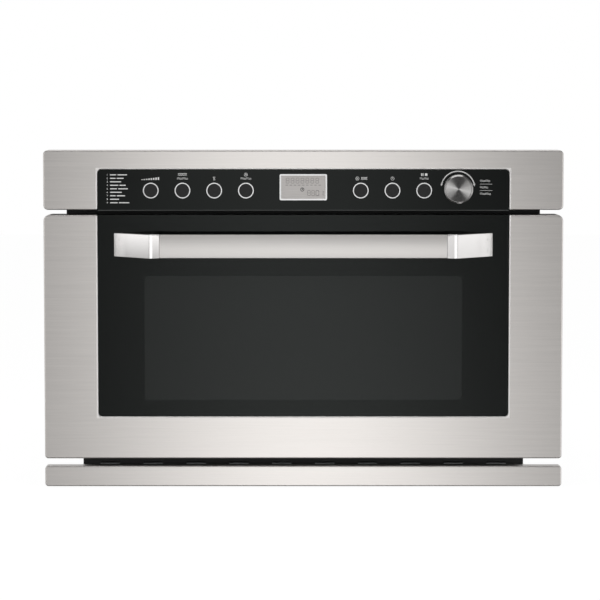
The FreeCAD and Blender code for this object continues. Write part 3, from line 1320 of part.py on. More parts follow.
def heater_tails():
    half = math.radians(RING_HEATER_GAP_ANGLE / 2)
    y = CAVITY_BACK + RING_HEATER_DEPTH
    points = []
    for side in (-1, 1):
        x = side * RING_HEATER_RADIUS * math.sin(half)
        points.append(Vector(x, y, CAVITY_CENTRE - RING_HEATER_RADIUS * math.cos(half)))
    return points


def make_convection_heater():
    """A ring tube whose two ends turn back through the pan."""
    tails = heater_tails()
    centre = Vector(0, tails[0].y, CAVITY_CENTRE)
    wedge = [centre] + [centre + (tail - centre) * RING_HEATER_CUT_SHARE for tail in tails]
    wedge = extruded([point - BACK * OVERRUN for point in wedge], BACK, 2 * OVERRUN)
    pieces = [Part.makeTorus(RING_HEATER_RADIUS, TUBE, centre, BACK).cut(wedge)]
    length = PAN_DEPTH - RING_HEATER_DEPTH + HEATER_TAIL
    for tail in tails:
        pieces.append(Part.makeSphere(TUBE, tail))
        pieces.append(rod(tail, BACK, TUBE, length))
    return fuse(*pieces)


def make_convection_fan():
    """A backing disc with radial blades, its hub and the shaft into the motor."""
    disc_y = CAVITY_BACK + WHEEL_FAN_SETBACK
    centre = Vector(0, disc_y, CAVITY_CENTRE)
    disc = rod(centre, BACK, WHEEL_FAN_RADIUS, WHEEL_FAN_SHEET)
    hub = rod(centre - BACK * WHEEL_FAN_BLADE, BACK, WHEEL_FAN_HUB, WHEEL_FAN_BLADE)
    shaft_end = CAVITY_BACK + PAN_DEPTH + AIR_MOTOR_GAP + AIR_SHAFT_DEPTH
    shaft = rod(centre, BACK, FAN_SHAFT, shaft_end - disc_y)
    blades = []
    for number in range(WHEEL_FAN_BLADES):
        y = (disc_y - WHEEL_FAN_BLADE, disc_y)
        blade = block((WHEEL_FAN_RADIUS / 2, WHEEL_FAN_RADIUS), y, about(0, WHEEL_FAN_SHEET))
        blade.rotate(ORIGIN, BACK, 360 / WHEEL_FAN_BLADES * number)
        blade.translate(UP * CAVITY_CENTRE)
        blades.append(blade)
    band = rod(centre - BACK * WHEEL_FAN_BLADE, BACK, WHEEL_FAN_RADIUS, 2 * WHEEL_FAN_BLADE)
    wheel = fuse(disc, *blades).common(band)
    return fuse(wheel, hub, shaft)


def make_convection_motor():
    face = CAVITY_BACK + PAN_DEPTH + AIR_MOTOR_GAP
    motor = rod(Vector(0, face, CAVITY_CENTRE), BACK, AIR_MOTOR_RADIUS, AIR_MOTOR_DEPTH)
    bore = rod(Vector(0, face, CAVITY_CENTRE), BACK, FAN_SHAFT + RUN, AIR_SHAFT_DEPTH + FIT)
    legs = []
    for number in range(AIR_MOTOR_LEGS):
        angle = 2 * math.pi * number / AIR_MOTOR_LEGS + math.pi / 2
        reach = AIR_MOTOR_RADIUS - 2 * AIR_MOTOR_LEG
        x = reach * math.cos(angle)
        z = CAVITY_CENTRE + reach * math.sin(angle)
        legs.append(rod(Vector(x, face - AIR_MOTOR_GAP, z), BACK, AIR_MOTOR_LEG, AIR_MOTOR_GAP))
    return fuse(motor, *legs).cut(bore)


def grill_run_xs():
    return [(number - (GRILL_RUNS - 1) / 2) * GRILL_PITCH for number in range(GRILL_RUNS)]


def make_grill_element():
    """A tube in level runs under the ceiling with two hangers."""
    z = CAVITY_CEILING - GRILL_DROP
    xs = grill_run_xs()
    tail = CAVITY_BACK + HEATER_TAIL
    bend = GRILL_PITCH / 2
    edges = [Part.makeLine(Vector(xs[0], tail, z), Vector(xs[0], GRILL_FRONT, z))]
    for number in range(GRILL_RUNS - 1):
        forward = number % 2 == 0
        y = GRILL_FRONT if forward else GRILL_BACK
        peak = y - bend if forward else y + bend
        start = Vector(xs[number], y, z)
        end = Vector(xs[number + 1], y, z)
        edges.append(Part.Arc(start, Vector(xs[number] + bend, peak, z), end).toShape())
        last = number == GRILL_RUNS - 2
        far = tail if last else GRILL_BACK if forward else GRILL_FRONT
        edges.append(Part.makeLine(end, Vector(xs[number + 1], far, z)))
    tube = swept_tube(edges, TUBE)
    hangers = []
    for x in xs[1:-1]:
        low = z - TUBE - CLIP_BELOW
        hanger = block(about(x, CLIP_WIDTH), about(TABLE_Y, CLIP_THICK), (low, CAVITY_CEILING))
        start = Vector(x, TABLE_Y - CLIP_THICK, z)
        hangers.append(hanger.cut(rod(start, BACK, TUBE + RUN, 2 * CLIP_THICK)))
    return Part.makeCompound([tube] + hangers)


def make_turntable_motor():
    top = CAVITY_FLOOR - SHEET
    tab_y = about(TABLE_Y, TABLE_MOTOR_TAB_WIDTH)
    tab = block(about(0, TABLE_MOTOR_TAB), tab_y, (top - SHEET, top))
    case_start = Vector(0, TABLE_Y, top - TABLE_MOTOR_HEIGHT)
    case = rod(case_start, UP, TABLE_MOTOR_RADIUS, TABLE_MOTOR_HEIGHT)
    bore_start = Vector(0, TABLE_Y, top - TABLE_SHAFT_DEPTH - FIT)
    bore = rod(bore_start, UP, COUPLING_SHAFT + RUN, TABLE_SHAFT_DEPTH + FIT)
    return fuse(case, tab).cut(bore)


def make_turntable_coupling():
    """A shaft with a three-armed head under the tray."""
    shaft_bottom = CAVITY_FLOOR - SHEET - TABLE_SHAFT_DEPTH
    head_bottom = CAVITY_FLOOR + COUPLING_GAP
    shaft = rod(Vector(0, TABLE_Y, shaft_bottom), UP, COUPLING_SHAFT, head_bottom - shaft_bottom)
    hub_radius = COUPLING_RADIUS / 2
    hub = rod(Vector(0, TABLE_Y, head_bottom), UP, hub_radius, TRAY_BOTTOM - head_bottom)
    arms = []
    for number in range(LOBE_COUNT):
        arm = block((0, COUPLING_RADIUS), about(0, LOBE_WIDTH), (head_bottom, TRAY_BOTTOM))
        arm.rotate(ORIGIN, UP, 360 / LOBE_COUNT * number)
        arm.translate(BACK * TABLE_Y)
        arms.append(arm)
    return fuse(shaft, hub, *arms)


def make_turntable_tray():
    """A glass plate with a raised rim and three lugs that the coupling turns."""
    centre = Vector(0, TABLE_Y, TRAY_BOTTOM)
    disc = rod(centre, UP, TRAY_RADIUS, TRAY_GLASS + TRAY_RIM)
    dish = rod(centre + UP * TRAY_GLASS, UP, TRAY_RADIUS - TRAY_RIM_WIDTH, TRAY_RIM)
    rim = disc.cut(dish)
    top = TRAY_BOTTOM + TRAY_GLASS + TRAY_RIM
    edges = [edge for edge in rim.Edges if edge.Closed and abs(edge.CenterOfMass.z - top) < NEAR]
    rim = rim.makeFillet(TRAY_RIM_ROUND, edges)
    lugs = []
    for number in range(LOBE_COUNT):
        angle = 2 * math.pi * (number + 1 / 2) / LOBE_COUNT
        reach = COUPLING_RADIUS - LUG / 2
        x = reach * math.cos(angle)
        y = TABLE_Y + reach * math.sin(angle)
        lugs.append(rod(Vector(x, y, TRAY_BOTTOM - LUG_HEIGHT), UP, LUG, LUG_HEIGHT))
    return fuse(rim, *lugs)


def make_roller_ring():
    """A flat ring with three axles pointing outwards."""
    inner = WHEEL_TRACK - WHEEL_WIDTH / 2 - FIT - RING_BAND
    low = AXLE_Z - RING_HEIGHT / 2
    band = rod(Vector(0, TABLE_Y, low), UP, inner + RING_BAND, RING_HEIGHT)
    band = band.cut(rod(Vector(0, TABLE_Y, low), UP, inner, RING_HEIGHT))
    axles = []
    for number in range(WHEEL_COUNT):
        start = inner + RING_BAND / 2
        length = WHEEL_TRACK + WHEEL_WIDTH / 2 + FIT - start
        axle = rod(Vector(start, 0, 0), RIGHT, AXLE, length)
        axle.rotate(ORIGIN, UP, 360 / WHEEL_COUNT * number)
        axle.translate(Vector(0, TABLE_Y, AXLE_Z))
        axles.append(axle)
    return fuse(band, *axles)


def make_roller_wheel(number):
    start = Vector(WHEEL_TRACK - WHEEL_WIDTH / 2, 0, 0)
    wheel = rod(start, RIGHT, WHEEL_RADIUS, WHEEL_WIDTH)
    wheel = wheel.cut(rod(start, RIGHT, AXLE + RUN, WHEEL_WIDTH))
    wheel.rotate(ORIGIN, UP, 360 / WHEEL_COUNT * number)
    wheel.translate(Vector(0, TABLE_Y, AXLE_Z))
    return wheel


def make_cavity_lamp():
    """A shade on the outside of the left wall with the bulb on its back."""
    z_centre = CAVITY_CEILING - LAMP_DROP
    x = (-CAVITY_SIDE - LAMP_DEPTH, -CAVITY_SIDE)
    y = about(LAMP_Y, LAMP_SIZE)
    z = about(z_centre, LAMP_SIZE)
    inside = block((x[0] + LAMP_WALL, x[1] + OVERRUN), grown(y, -LAMP_WALL), grown(z, -LAMP_WALL))
    shade = block(x, y, z).cut(inside)
    foot = Vector(x[0] + LAMP_WALL, LAMP_Y, z_centre)
    bulb = rod(foot, RIGHT, BULB, BULB_LENGTH - BULB)
    bulb = bulb.fuse(Part.makeSphere(BULB, foot + RIGHT * (BULB_LENGTH - BULB))).removeSplitter()
    bulb = bulb.common(block((foot.x, 0), y, z))
    return Part.makeCompound([shade, bulb])


def export(name, shape):
    shape.exportStep("parts/" + name + ".step")


os.makedirs("parts", exist_ok=True)
export("control_fascia", make_control_fascia())
export("control_glass", make_control_glass())
export("panel_trims", make_panel_trims())
export("display_screen", make_display_screen())
for number, x_centre in enumerate(BUTTON_XS, 1):
    export("button_" + str(number), make_button(x_centre))
export("knob", make_knob())
export("encoder_shaft", make_encoder_shaft())
export("control_housing", make_control_housing())
export("control_board", make_control_board())
export("door_skin", make_door_skin())
export("door_glass", make_door_glass())
export("door_liner", make_door_liner())
export("door_inner_panel", make_door_inner_panel())
export("window_screen", make_window_screen())
export("door_inner_glass", make_door_inner_glass())
export("handle_bar", make_handle_bar())
export("handle_brackets", make_handle_brackets())
export("door_screws", make_door_screws())
export("door_hinge_leaves", make_door_hinge_leaves())
export("hinge_springs", make_hinge_springs())
export("chassis_hinges", make_chassis_hinges())
export("latch_right", make_latch())
export("latch_left", mirrored(make_latch()))
export("interlock_switches", make_interlock_switches())
export("lower_trim", make_lower_trim())
export("vent_grille", make_vent_grille())
export("front_plate", make_front_plate())
export("mounting_flanges", make_mounting_flanges())
export("chassis_screws", make_chassis_screws())
export("base_plate", make_base_plate())
export("outer_cover", make_outer_cover())
export("back_panel", make_back_panel())
export("cord_gland", make_cord_gland())
export("cavity", make_cavity())
export("waveguide_cover", make_waveguide_cover())
export("waveguide", make_waveguide())
export("magnetron", make_magnetron())
export("transformer", make_transformer())
export("hv_capacitor", make_hv_capacitor())
export("cooling_fan_housing", make_cooling_fan_housing())
export("cooling_fan", make_cooling_fan())
export("hot_air_cover", make_hot_air_cover())
export("convection_heater", make_convection_heater())
export("convection_fan", make_convection_fan())
export("convection_motor", make_convection_motor())
export("grill_element", make_grill_element())
export("turntable_motor", make_turntable_motor())
export("turntable_coupling", make_turntable_coupling())
export("turntable_tray", make_turntable_tray())
export("roller_ring", make_roller_ring())
for number in range(WHEEL_COUNT):
    export("roller_wheel_" + str(number + 1), make_roller_wheel(number))
export("cavity_lamp", make_cavity_lamp())
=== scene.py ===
import math
import bmesh
import bpy
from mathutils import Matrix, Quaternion, Vector


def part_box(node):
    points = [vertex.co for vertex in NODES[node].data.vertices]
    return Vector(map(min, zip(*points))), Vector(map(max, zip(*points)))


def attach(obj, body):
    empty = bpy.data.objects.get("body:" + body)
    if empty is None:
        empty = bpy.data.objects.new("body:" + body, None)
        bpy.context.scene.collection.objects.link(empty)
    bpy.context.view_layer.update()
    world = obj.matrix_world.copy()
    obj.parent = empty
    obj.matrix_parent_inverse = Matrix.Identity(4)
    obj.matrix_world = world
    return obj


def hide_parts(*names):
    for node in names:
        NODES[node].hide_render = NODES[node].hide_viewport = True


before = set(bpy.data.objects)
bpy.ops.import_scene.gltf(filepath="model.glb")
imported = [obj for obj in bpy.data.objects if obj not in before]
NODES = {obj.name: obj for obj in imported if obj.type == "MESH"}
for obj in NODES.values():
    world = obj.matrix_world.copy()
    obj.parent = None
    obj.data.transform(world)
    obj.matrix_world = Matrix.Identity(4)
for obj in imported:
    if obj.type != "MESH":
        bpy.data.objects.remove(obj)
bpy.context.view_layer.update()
MM = 0.001

# The photograph's view: millimetres on the plane of the front, degrees, and metres for the reach
VIEW_WIDTH = 876.4
VIEW_CENTRE = (-4.85, -44.0, 275.9)
VIEW_DISTANCE = 4000.0
VIEW_ELEVATION = 4.4
SENSOR = 36.0
VIEW_REACH = 100.0

# Studio: metres, degrees, and radiance where 1 is white. A softbox has place, aim, width, height and radiance
AMBIENT = 0.44
MIRRORED = 0.78
MIRRORED_DARK = 0.1
MIRRORED_RISE = (-0.8, -0.42)
MIRRORED_FALL = (-0.24, 0.14)
MIRRORED_BEHIND = 0.72
MIRRORED_TURN = (-0.05, 0.35)
FRONT_LOW = 1.24
FRONT_HIGH = 0.66
FRONT_ROLL = 5.0
FRONT_BOX = ("front_box", (-0.02, -2.5, 0.2), (-0.02, 0.0, 0.2), 1.45, 2.2, 1.6)
SOFTBOXES = (
    ("left_wall", (-1.7, -1.48, 0.85), (0.0, -0.05, 0.4), 1.8, 2.4, 0.78),
    ("right_wall", (1.7, -1.48, 0.5), (0.0, -0.05, 0.4), 1.8, 2.6, 0.78),
    ("left_box", (-1.63, -1.42, 0.88), (0.0, -0.05, 0.35), 1.7, 0.5, 0.5),
    ("right_box", (1.63, -1.42, 0.05), (0.0, -0.05, 0.35), 1.7, 0.5, 0.5),
    ("left_card", (-2.3, -0.1, 0.5), (0.0, -0.1, 0.4), 0.9, 1.6, 0.76),
    ("right_card", (2.3, -0.1, 0.5), (0.0, -0.1, 0.4), 0.9, 1.6, 0.95),
    ("top_box", (0.0, -0.4, 2.3), (0.0, -0.2, 0.3), 1.8, 1.0, 2.0),
)
FLOOR_SIZE = 14.0
FLOOR_DROP = 0.001
FLOOR_COLOUR = (0.9, 0.9, 0.895)
WHITE = (1.0, 1.0, 1.0)
FLOOR_GLOW_SHARE = 0.9
FLOOR_GLOW = 1.055

# Places read from the frame, in metres
GLASS_LOW, GLASS_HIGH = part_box("door_glass")
INNER_LOW, INNER_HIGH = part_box("door_inner_glass")
PANEL_LOW, PANEL_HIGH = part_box("control_glass")
SCREEN_LOW, SCREEN_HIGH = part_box("display_screen")
KNOB_LOW, KNOB_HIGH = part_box("knob")
GRILLE_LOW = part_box("vent_grille")[0]
BAR_LOW, BAR_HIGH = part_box("handle_bar")
KNOB_X = (KNOB_LOW.x + KNOB_HIGH.x) / 2
KNOB_Z = (KNOB_LOW.z + KNOB_HIGH.z) / 2

# Where a finish, a painted highlight or the painted view of the screen changes on a piece, in metres
GROUND_EDGE_HIGHLIGHT = 1.1 * MM
EDGE_HIGHLIGHT_WIDTH = 2.9 * MM
SEAM = 0.6 * MM
BAR_JOINT = 207.2 * MM
BEND = 219.6 * MM
BEND_HIGHLIGHT = 2.6 * MM
FOOT_HIGHLIGHT = (257.0 * MM, 274.5 * MM)
WINDOW_SIDE_INSET = 18 * MM
WINDOW_EDGE_INSET = 36 * MM
WINDOW_FADE = 1.2 * MM
WINDOW_LOW = (INNER_LOW.x + WINDOW_SIDE_INSET, INNER_LOW.z + WINDOW_EDGE_INSET)
WINDOW_HIGH = (INNER_HIGH.x - WINDOW_SIDE_INSET, INNER_HIGH.z - WINDOW_EDGE_INSET)

# Patterns in the finishes: grain in steps per metre, pitches in metres, a hole's edge in pitches
LONG_GRAIN = (2.5, 700.0, 900.0)
SHEET_GRAIN = (9.0, 260.0, 330.0)
SPUN_GRAIN = 40.0
GLASS_HAZE = 9.0
GLASS_WAVE = 14.0
SCREEN_PITCH = 1.8 * MM
HOLE_EDGE = (0.27, 0.33)
LEAF_THICK = 0.5 * MM

# Grain across the tangent, in turns, and the colour of reflections in the black panes
QUARTER_TURN = 0.25
GLASS_TINT = (0.93, 1.0, 0.965)


class Surface:
    """One procedural material, built round a principled shader."""

    def __init__(self, name, sockets):
        self.material = bpy.data.materials.new(name)
        self.material.use_nodes = True
        self.nodes = self.material.node_tree.nodes
        self.links = self.material.node_tree.links
        self.nodes.clear()
        self.shader = self.node("BsdfPrincipled", sockets)
        output = self.node("OutputMaterial")
        self.links.new(self.shader.outputs["BSDF"], output.inputs["Surface"])

    def node(self, kind, inputs=None, **settings):
        made = self.nodes.new("ShaderNode" + kind)
        for key, value in settings.items():
            setattr(made, key, value)
        for socket, value in (inputs or {}).items():
            self.feed(made.inputs[socket], value)
        return made

    def feed(self, socket, value):
        if isinstance(value, bpy.types.NodeSocket):
            self.links.new(value, socket)
        elif socket.type == "RGBA":
            socket.default_value = (*value, 1.0)
        else:
            socket.default_value = value

    def set(self, socket, value):
        self.feed(self.shader.inputs[socket], value)

    def place(self, scale):
        """The piece's own coordinates, with so many steps per metre, alike on all axes or given for each."""
        where = self.node("TexCoord").outputs["Object"]
        steps = scale if isinstance(scale, tuple) else (scale, scale, scale)
        return self.node("Mapping", {"Vector": where, "Scale": steps}).outputs["Vector"]

    def noise(self, scale, detail=2.0, rough=0.5):
        made = self.node("TexNoise", {"Vector": self.place(scale), "Scale": 1.0, "Detail": detail,
                                      "Roughness": rough})
        return made.outputs[0]

    def cells(self, scale, output="Distance", jitter=1.0):
        made = self.node("TexVoronoi", {"Vector": self.place(scale), "Scale": 1.0, "Randomness": jitter})
        return made.outputs[output]

    def flakes(self, scale):
        """A random level for each cell."""
        return self.node("SeparateColor", {"Color": self.cells(scale, "Color")}).outputs["Red"]

    def dots(self, pitch):
        """Distance to the nearest point of a staggered grid in the plane of the front, in pitches."""
        steps = math.sqrt(0.5) / pitch
        across = self.sum("MULTIPLY", self.sum("ADD", self.axis("X"), self.axis("Z")), steps)
        along = self.sum("MULTIPLY", self.sum("SUBTRACT", self.axis("X"), self.axis("Z")), steps)
        where = self.node("CombineXYZ", {"X": across, "Y": along}).outputs["Vector"]
        grid = {"Vector": where, "Scale": 1.0, "Randomness": 0.0}
        return self.node("TexVoronoi", grid, voronoi_dimensions="2D").outputs["Distance"]

    def axis(self, name):
        where = self.node("TexCoord").outputs["Object"]
        return self.node("SeparateXYZ", {"Vector": where}).outputs[name]

    def below(self, name, level):
        """One where the coordinate is under a level, and nought over it."""
        return self.sum("LESS_THAN", self.axis(name), level)

    def between(self, name, low, high, fade):
        """One between two levels of a coordinate, fading to nought across each of them."""
        off = self.size(self.sum("SUBTRACT", self.axis(name), (low + high) / 2))
        half = (high - low) / 2
        return self.spread(off, 1.0, 0.0, half - fade, half + fade)

    def spread(self, value, low, high, start=0.0, end=1.0):
        made = self.node("MapRange", {"Value": value, "From Min": start, "From Max": end,
                                      "To Min": low, "To Max": high})
        return made.outputs["Result"]

    def sum(self, operation, first, second):
        made = self.node("Math", operation=operation)
        self.feed(made.inputs[0], first)
        self.feed(made.inputs[1], second)
        return made.outputs["Value"]

    def size(self, value):
        return self.sum("ABSOLUTE", value, 0.0)

    def mix(self, share, first, second):
        made = self.node("Mix", data_type="RGBA")
        self.feed(made.inputs[0], share)
        self.feed(made.inputs[6], first)
        self.feed(made.inputs[7], second)
        return made.outputs[2]

    def bump(self, height, depth, strength=1.0):
        made = self.node("Bump", {"Height": height, "Distance": depth, "Strength": strength})
        self.links.new(made.outputs["Normal"], self.shader.inputs["Normal"])

    def grain_round(self, axis, amount):
        tangent = self.node("Tangent", direction_type="RADIAL", axis=axis)
        self.set("Tangent", tangent.outputs["Tangent"])
        self.set("Anisotropic", amount)
        self.set("Anisotropic Rotation", QUARTER_TURN)


def shade(colour, share):
    return tuple(part * share for part in colour)


def brushed_metal(name, colour, roughness, fibre, axis, anisotropy):
    surface = Surface(name, {"Metallic": 1.0})
    lines = surface.noise(fibre, detail=3.0, rough=0.6)
    surface.set("Base Color", surface.mix(lines, shade(colour, 0.93), shade(colour, 1.07)))
    surface.set("Roughness", surface.spread(lines, roughness - 0.05, roughness + 0.06))
    surface.bump(lines, depth=0.02 * MM, strength=0.25)
    surface.grain_round(axis, anisotropy)
    return surface.material


def fascia_steel(name, colour, edge_highlight_colour):
    """Brushed sheet whose bent edges round the two glass panes carry a painted highlight: a bright band of
    base colour.
    """
    surface = Surface(name, {"Metallic": 1.0})
    lines = surface.noise(SHEET_GRAIN, detail=5.0, rough=0.72)
    # Painted highlight: the band along the bent edges round the glass panes gets a bright base colour,
    # standing in for light the edges catch, and a rougher finish
    inside = surface.sum("LESS_THAN", surface.size(surface.axis("X")), GLASS_HIGH.x + EDGE_HIGHLIGHT_WIDTH)
    over = surface.sum("GREATER_THAN", surface.axis("Z"), GLASS_LOW.z - EDGE_HIGHLIGHT_WIDTH)
    under = surface.below("Z", PANEL_HIGH.z + EDGE_HIGHLIGHT_WIDTH)
    edge = surface.sum("MULTIPLY", inside, surface.sum("MULTIPLY", over, under))
    sheet = surface.mix(lines, shade(colour, 0.87), shade(colour, 1.13))
    surface.set("Base Color", surface.mix(edge, sheet, edge_highlight_colour))
    surface.set("Roughness", surface.spread(edge, surface.spread(lines, 0.25, 0.36), 0.46))
    surface.bump(lines, depth=0.02 * MM, strength=0.25)
    surface.grain_round("Z", 0.7)
    return surface.material


def bracket_steel(name, colour, highlight_colour, seam_colour):
    """Bright satin steel with painted shade, lighter at the top and darker low down, most on the left,
    painted highlights at bend and foot, and a dark joint.
    """
    surface = Surface(name, {"Metallic": 1.0})
    cloud = surface.noise(120.0, detail=3.0, rough=0.6)
    out = surface.size(surface.axis("X"))
    seam = surface.sum("LESS_THAN", out, BAR_JOINT + SEAM)
    # Painted highlight: a bright band of base colour along the bend
    off_bend = surface.size(surface.sum("SUBTRACT", out, BEND))
    bend_highlight = surface.spread(off_bend, 1.0, 0.0, BEND_HIGHLIGHT / 2, BEND_HIGHLIGHT)
    # Painted shade: the base colour grows lighter towards the top and darker towards the bottom, fully on the
    # left bracket and a quarter as much on the right
    height = surface.spread(surface.axis("Z"), -0.5, 0.5, BAR_LOW.z, BAR_HIGH.z)
    strength = surface.spread(surface.axis("X"), 1.0, 0.25, -BAR_JOINT, BAR_JOINT)
    lift = surface.sum("ADD", surface.sum("MULTIPLY", height, strength), surface.spread(cloud, 0.46, 0.54))
    metal = surface.mix(lift, shade(colour, 0.66), shade(colour, 1.34))
    # Painted highlight: the base colour brightens towards the foot, where the bracket meets the door
    foot_highlight = surface.spread(out, 0.0, 0.5, *FOOT_HIGHLIGHT)
    metal = surface.mix(surface.sum("MAXIMUM", bend_highlight, foot_highlight), metal, highlight_colour)
    surface.set("Base Color", surface.mix(seam, metal, seam_colour))
    surface.set("Roughness", surface.spread(cloud, 0.17, 0.28))
    surface.bump(cloud, depth=0.02 * MM, strength=0.25)
    return surface.material


def plain_metal(name, colour, roughness, blotch=60.0, contrast=0.1):
    surface = Surface(name, {"Metallic": 1.0})
    cloud = surface.noise(blotch, detail=5.0, rough=0.6)
    surface.set("Base Color", surface.mix(cloud, shade(colour, 1 - contrast), shade(colour, 1 + contrast)))
    surface.set("Roughness", surface.spread(cloud, roughness - 0.06, roughness + 0.08))
    surface.bump(surface.noise(900.0, detail=2.0), depth=0.03 * MM, strength=0.3)
    return surface.material


def spangled_zinc(name):
    surface = Surface(name, {"Metallic": 0.85})
    tone = surface.flakes(85.0)
    surface.set("Base Color", surface.mix(tone, (0.47, 0.48, 0.49), (0.56, 0.57, 0.58)))
    surface.set("Roughness", surface.spread(tone, 0.34, 0.5))
    surface.bump(surface.noise(260.0, detail=3.0), depth=0.04 * MM, strength=0.25)
    return surface.material


def moulded_plastic(name, colour, roughness):
    surface = Surface(name, {"Specular IOR Level": 0.4})
    spark = surface.noise(1400.0, detail=2.0)
    cloud = surface.noise(35.0, detail=3.0)
    surface.set("Base Color", surface.mix(cloud, shade(colour, 0.88), shade(colour, 1.12)))
    surface.set("Roughness", surface.spread(spark, roughness - 0.07, roughness + 0.08))
    surface.bump(spark, depth=0.06 * MM, strength=0.35)
    return surface.material


def powder_paint(name, colour, roughness):
    surface = Surface(name, {"Specular IOR Level": 0.35})
    peel = surface.noise(650.0, detail=2.0)
    surface.set("Base Color", surface.mix(peel, shade(colour, 0.85), shade(colour, 1.15)))
    surface.set("Roughness", surface.spread(peel, roughness - 0.06, roughness + 0.08))
    surface.bump(peel, depth=0.05 * MM, strength=0.4)
    return surface.material


def speckled_enamel(name):
    surface = Surface(name, {"Coat Weight": 0.35, "Coat Roughness": 0.12})
    flecks = surface.spread(surface.cells(700.0), 1.0, 0.0, start=0.08, end=0.2)
    surface.set("Base Color", surface.mix(flecks, (0.235, 0.24, 0.245), (0.52, 0.52, 0.51)))
    wave = surface.noise(120.0, detail=2.0)
    surface.set("Roughness", surface.spread(wave, 0.26, 0.38))
    surface.bump(wave, depth=0.08 * MM, strength=0.3)
    return surface.material


def black_glass(name):
    surface = Surface(name, {"Specular IOR Level": 0.13, "Specular Tint": GLASS_TINT})
    haze = surface.noise(GLASS_HAZE, detail=4.0)
    pane = surface.mix(haze, (0.0028, 0.0031, 0.003), (0.0042, 0.0047, 0.0045))
    # Painted highlight: the ground bottom edge of the panel is rougher, and its lighter grey base colour
    # stands in for the bevel catching light
    ground_highlight = surface.below("Z", PANEL_LOW.z + GROUND_EDGE_HIGHLIGHT)
    surface.set("Base Color", surface.mix(ground_highlight, pane, (0.085, 0.09, 0.088)))
    surface.set("Roughness", surface.spread(ground_highlight, surface.spread(haze, 0.035, 0.07), 0.4))
    surface.bump(surface.noise(GLASS_WAVE, detail=1.0), depth=0.03 * MM, strength=0.2)
    return surface.material


def smoked_glass(name):
    """Nearly black glass, with a faint grey painted into the window, standing in for the lit screen seen
    through it.
    """
    surface = Surface(name, {"Specular IOR Level": 0.156, "Specular Tint": GLASS_TINT, "Alpha": 0.9})
    haze = surface.noise(GLASS_HAZE, detail=4.0)
    # Painted light: the faint grey in the window stands in for the lit screen behind the glass
    across = surface.between("X", WINDOW_LOW[0], WINDOW_HIGH[0], WINDOW_FADE)
    up = surface.between("Z", WINDOW_LOW[1], WINDOW_HIGH[1], WINDOW_FADE)
    pane = surface.mix(haze, (0.003, 0.0033, 0.0032), (0.0045, 0.005, 0.0048))
    painted_screen_view = surface.sum("MULTIPLY", across, up)
    surface.set("Base Color", surface.mix(painted_screen_view, pane, (0.0155, 0.0165, 0.0161)))
    surface.set("Roughness", surface.spread(haze, 0.03, 0.06))
    surface.bump(surface.noise(GLASS_WAVE, detail=1.0), depth=0.02 * MM, strength=0.15)
    return surface.material


def tinted_glass(name, colour, specular, roughness=0.02):
    surface = Surface(name, {"Transmission Weight": 1.0, "IOR": 1.45, "Specular IOR Level": specular})
    haze = surface.noise(GLASS_HAZE, detail=4.0)
    surface.set("Base Color", surface.mix(haze, shade(colour, 0.95), shade(colour, 1.05)))
    surface.set("Roughness", surface.spread(haze, roughness, roughness + 0.02))
    surface.bump(surface.noise(GLASS_WAVE, detail=1.0), depth=0.02 * MM, strength=0.15)
    return surface.material


def perforated_screen(name):
    surface = Surface(name, {"Metallic": 0.3})
    inside = surface.spread(surface.dots(SCREEN_PITCH), 0.0, 1.0, *HOLE_EDGE)
    surface.set("Base Color", surface.mix(inside, (0.004, 0.004, 0.004), (0.11, 0.112, 0.112)))
    surface.set("Roughness", surface.spread(inside, 0.9, 0.48))
    surface.bump(inside, depth=0.3 * MM, strength=0.6)
    return surface.material


def display_glass(name):
    surface = Surface(name, {"Specular IOR Level": 0.3, "Coat Weight": 0.2, "Coat Roughness": 0.1})
    rows = surface.noise((40.0, 40.0, 2600.0), detail=1.0)
    surface.set("Base Color", surface.mix(rows, (0.43, 0.408, 0.395), (0.58, 0.555, 0.54)))
    surface.set("Roughness", surface.spread(rows, 0.3, 0.42))
    surface.bump(rows, depth=0.02 * MM, strength=0.2)
    return surface.material


def dotted_cap(name):
    surface = Surface(name, {"Specular IOR Level": 0.35})
    dots = surface.spread(surface.cells(900.0, jitter=0.3), 1.0, 0.0, start=0.2, end=0.5)
    surface.set("Base Color", surface.mix(dots, (0.004, 0.004, 0.004), (0.02, 0.021, 0.021)))
    surface.set("Roughness", surface.spread(dots, 0.42, 0.6))
    surface.bump(dots, depth=0.08 * MM, strength=0.5)
    return surface.material


def mica_sheet(name):
    surface = Surface(name, {"Specular IOR Level": 0.5})
    flakes = surface.flakes(420.0)
    surface.set("Base Color", surface.mix(flakes, (0.40, 0.33, 0.23), (0.62, 0.54, 0.42)))
    surface.set("Roughness", surface.spread(flakes, 0.3, 0.55))
    surface.bump(flakes, depth=0.06 * MM, strength=0.4)
    return surface.material


def heated_tube(name):
    surface = Surface(name, {"Metallic": 0.8})
    bloom = surface.noise(22.0, detail=3.0)
    surface.set("Base Color", surface.mix(bloom, (0.10, 0.085, 0.075), (0.24, 0.22, 0.215)))
    surface.set("Roughness", surface.spread(bloom, 0.35, 0.55))
    surface.bump(surface.noise(1200.0), depth=0.04 * MM, strength=0.4)
    return surface.material


def laminated_core(name):
    surface = Surface(name, {"Metallic": 0.6})
    where = surface.sum("DIVIDE", surface.axis("Y"), LEAF_THICK)
    leaves = surface.sum("FRACT", where, 0.0)
    edge = surface.spread(leaves, 0.0, 1.0, start=0.0, end=0.25)
    surface.set("Base Color", surface.mix(edge, (0.05, 0.048, 0.046), (0.21, 0.205, 0.2)))
    surface.set("Roughness", surface.spread(edge, 0.7, 0.45))
    surface.bump(edge, depth=0.1 * MM, strength=0.5)
    return surface.material


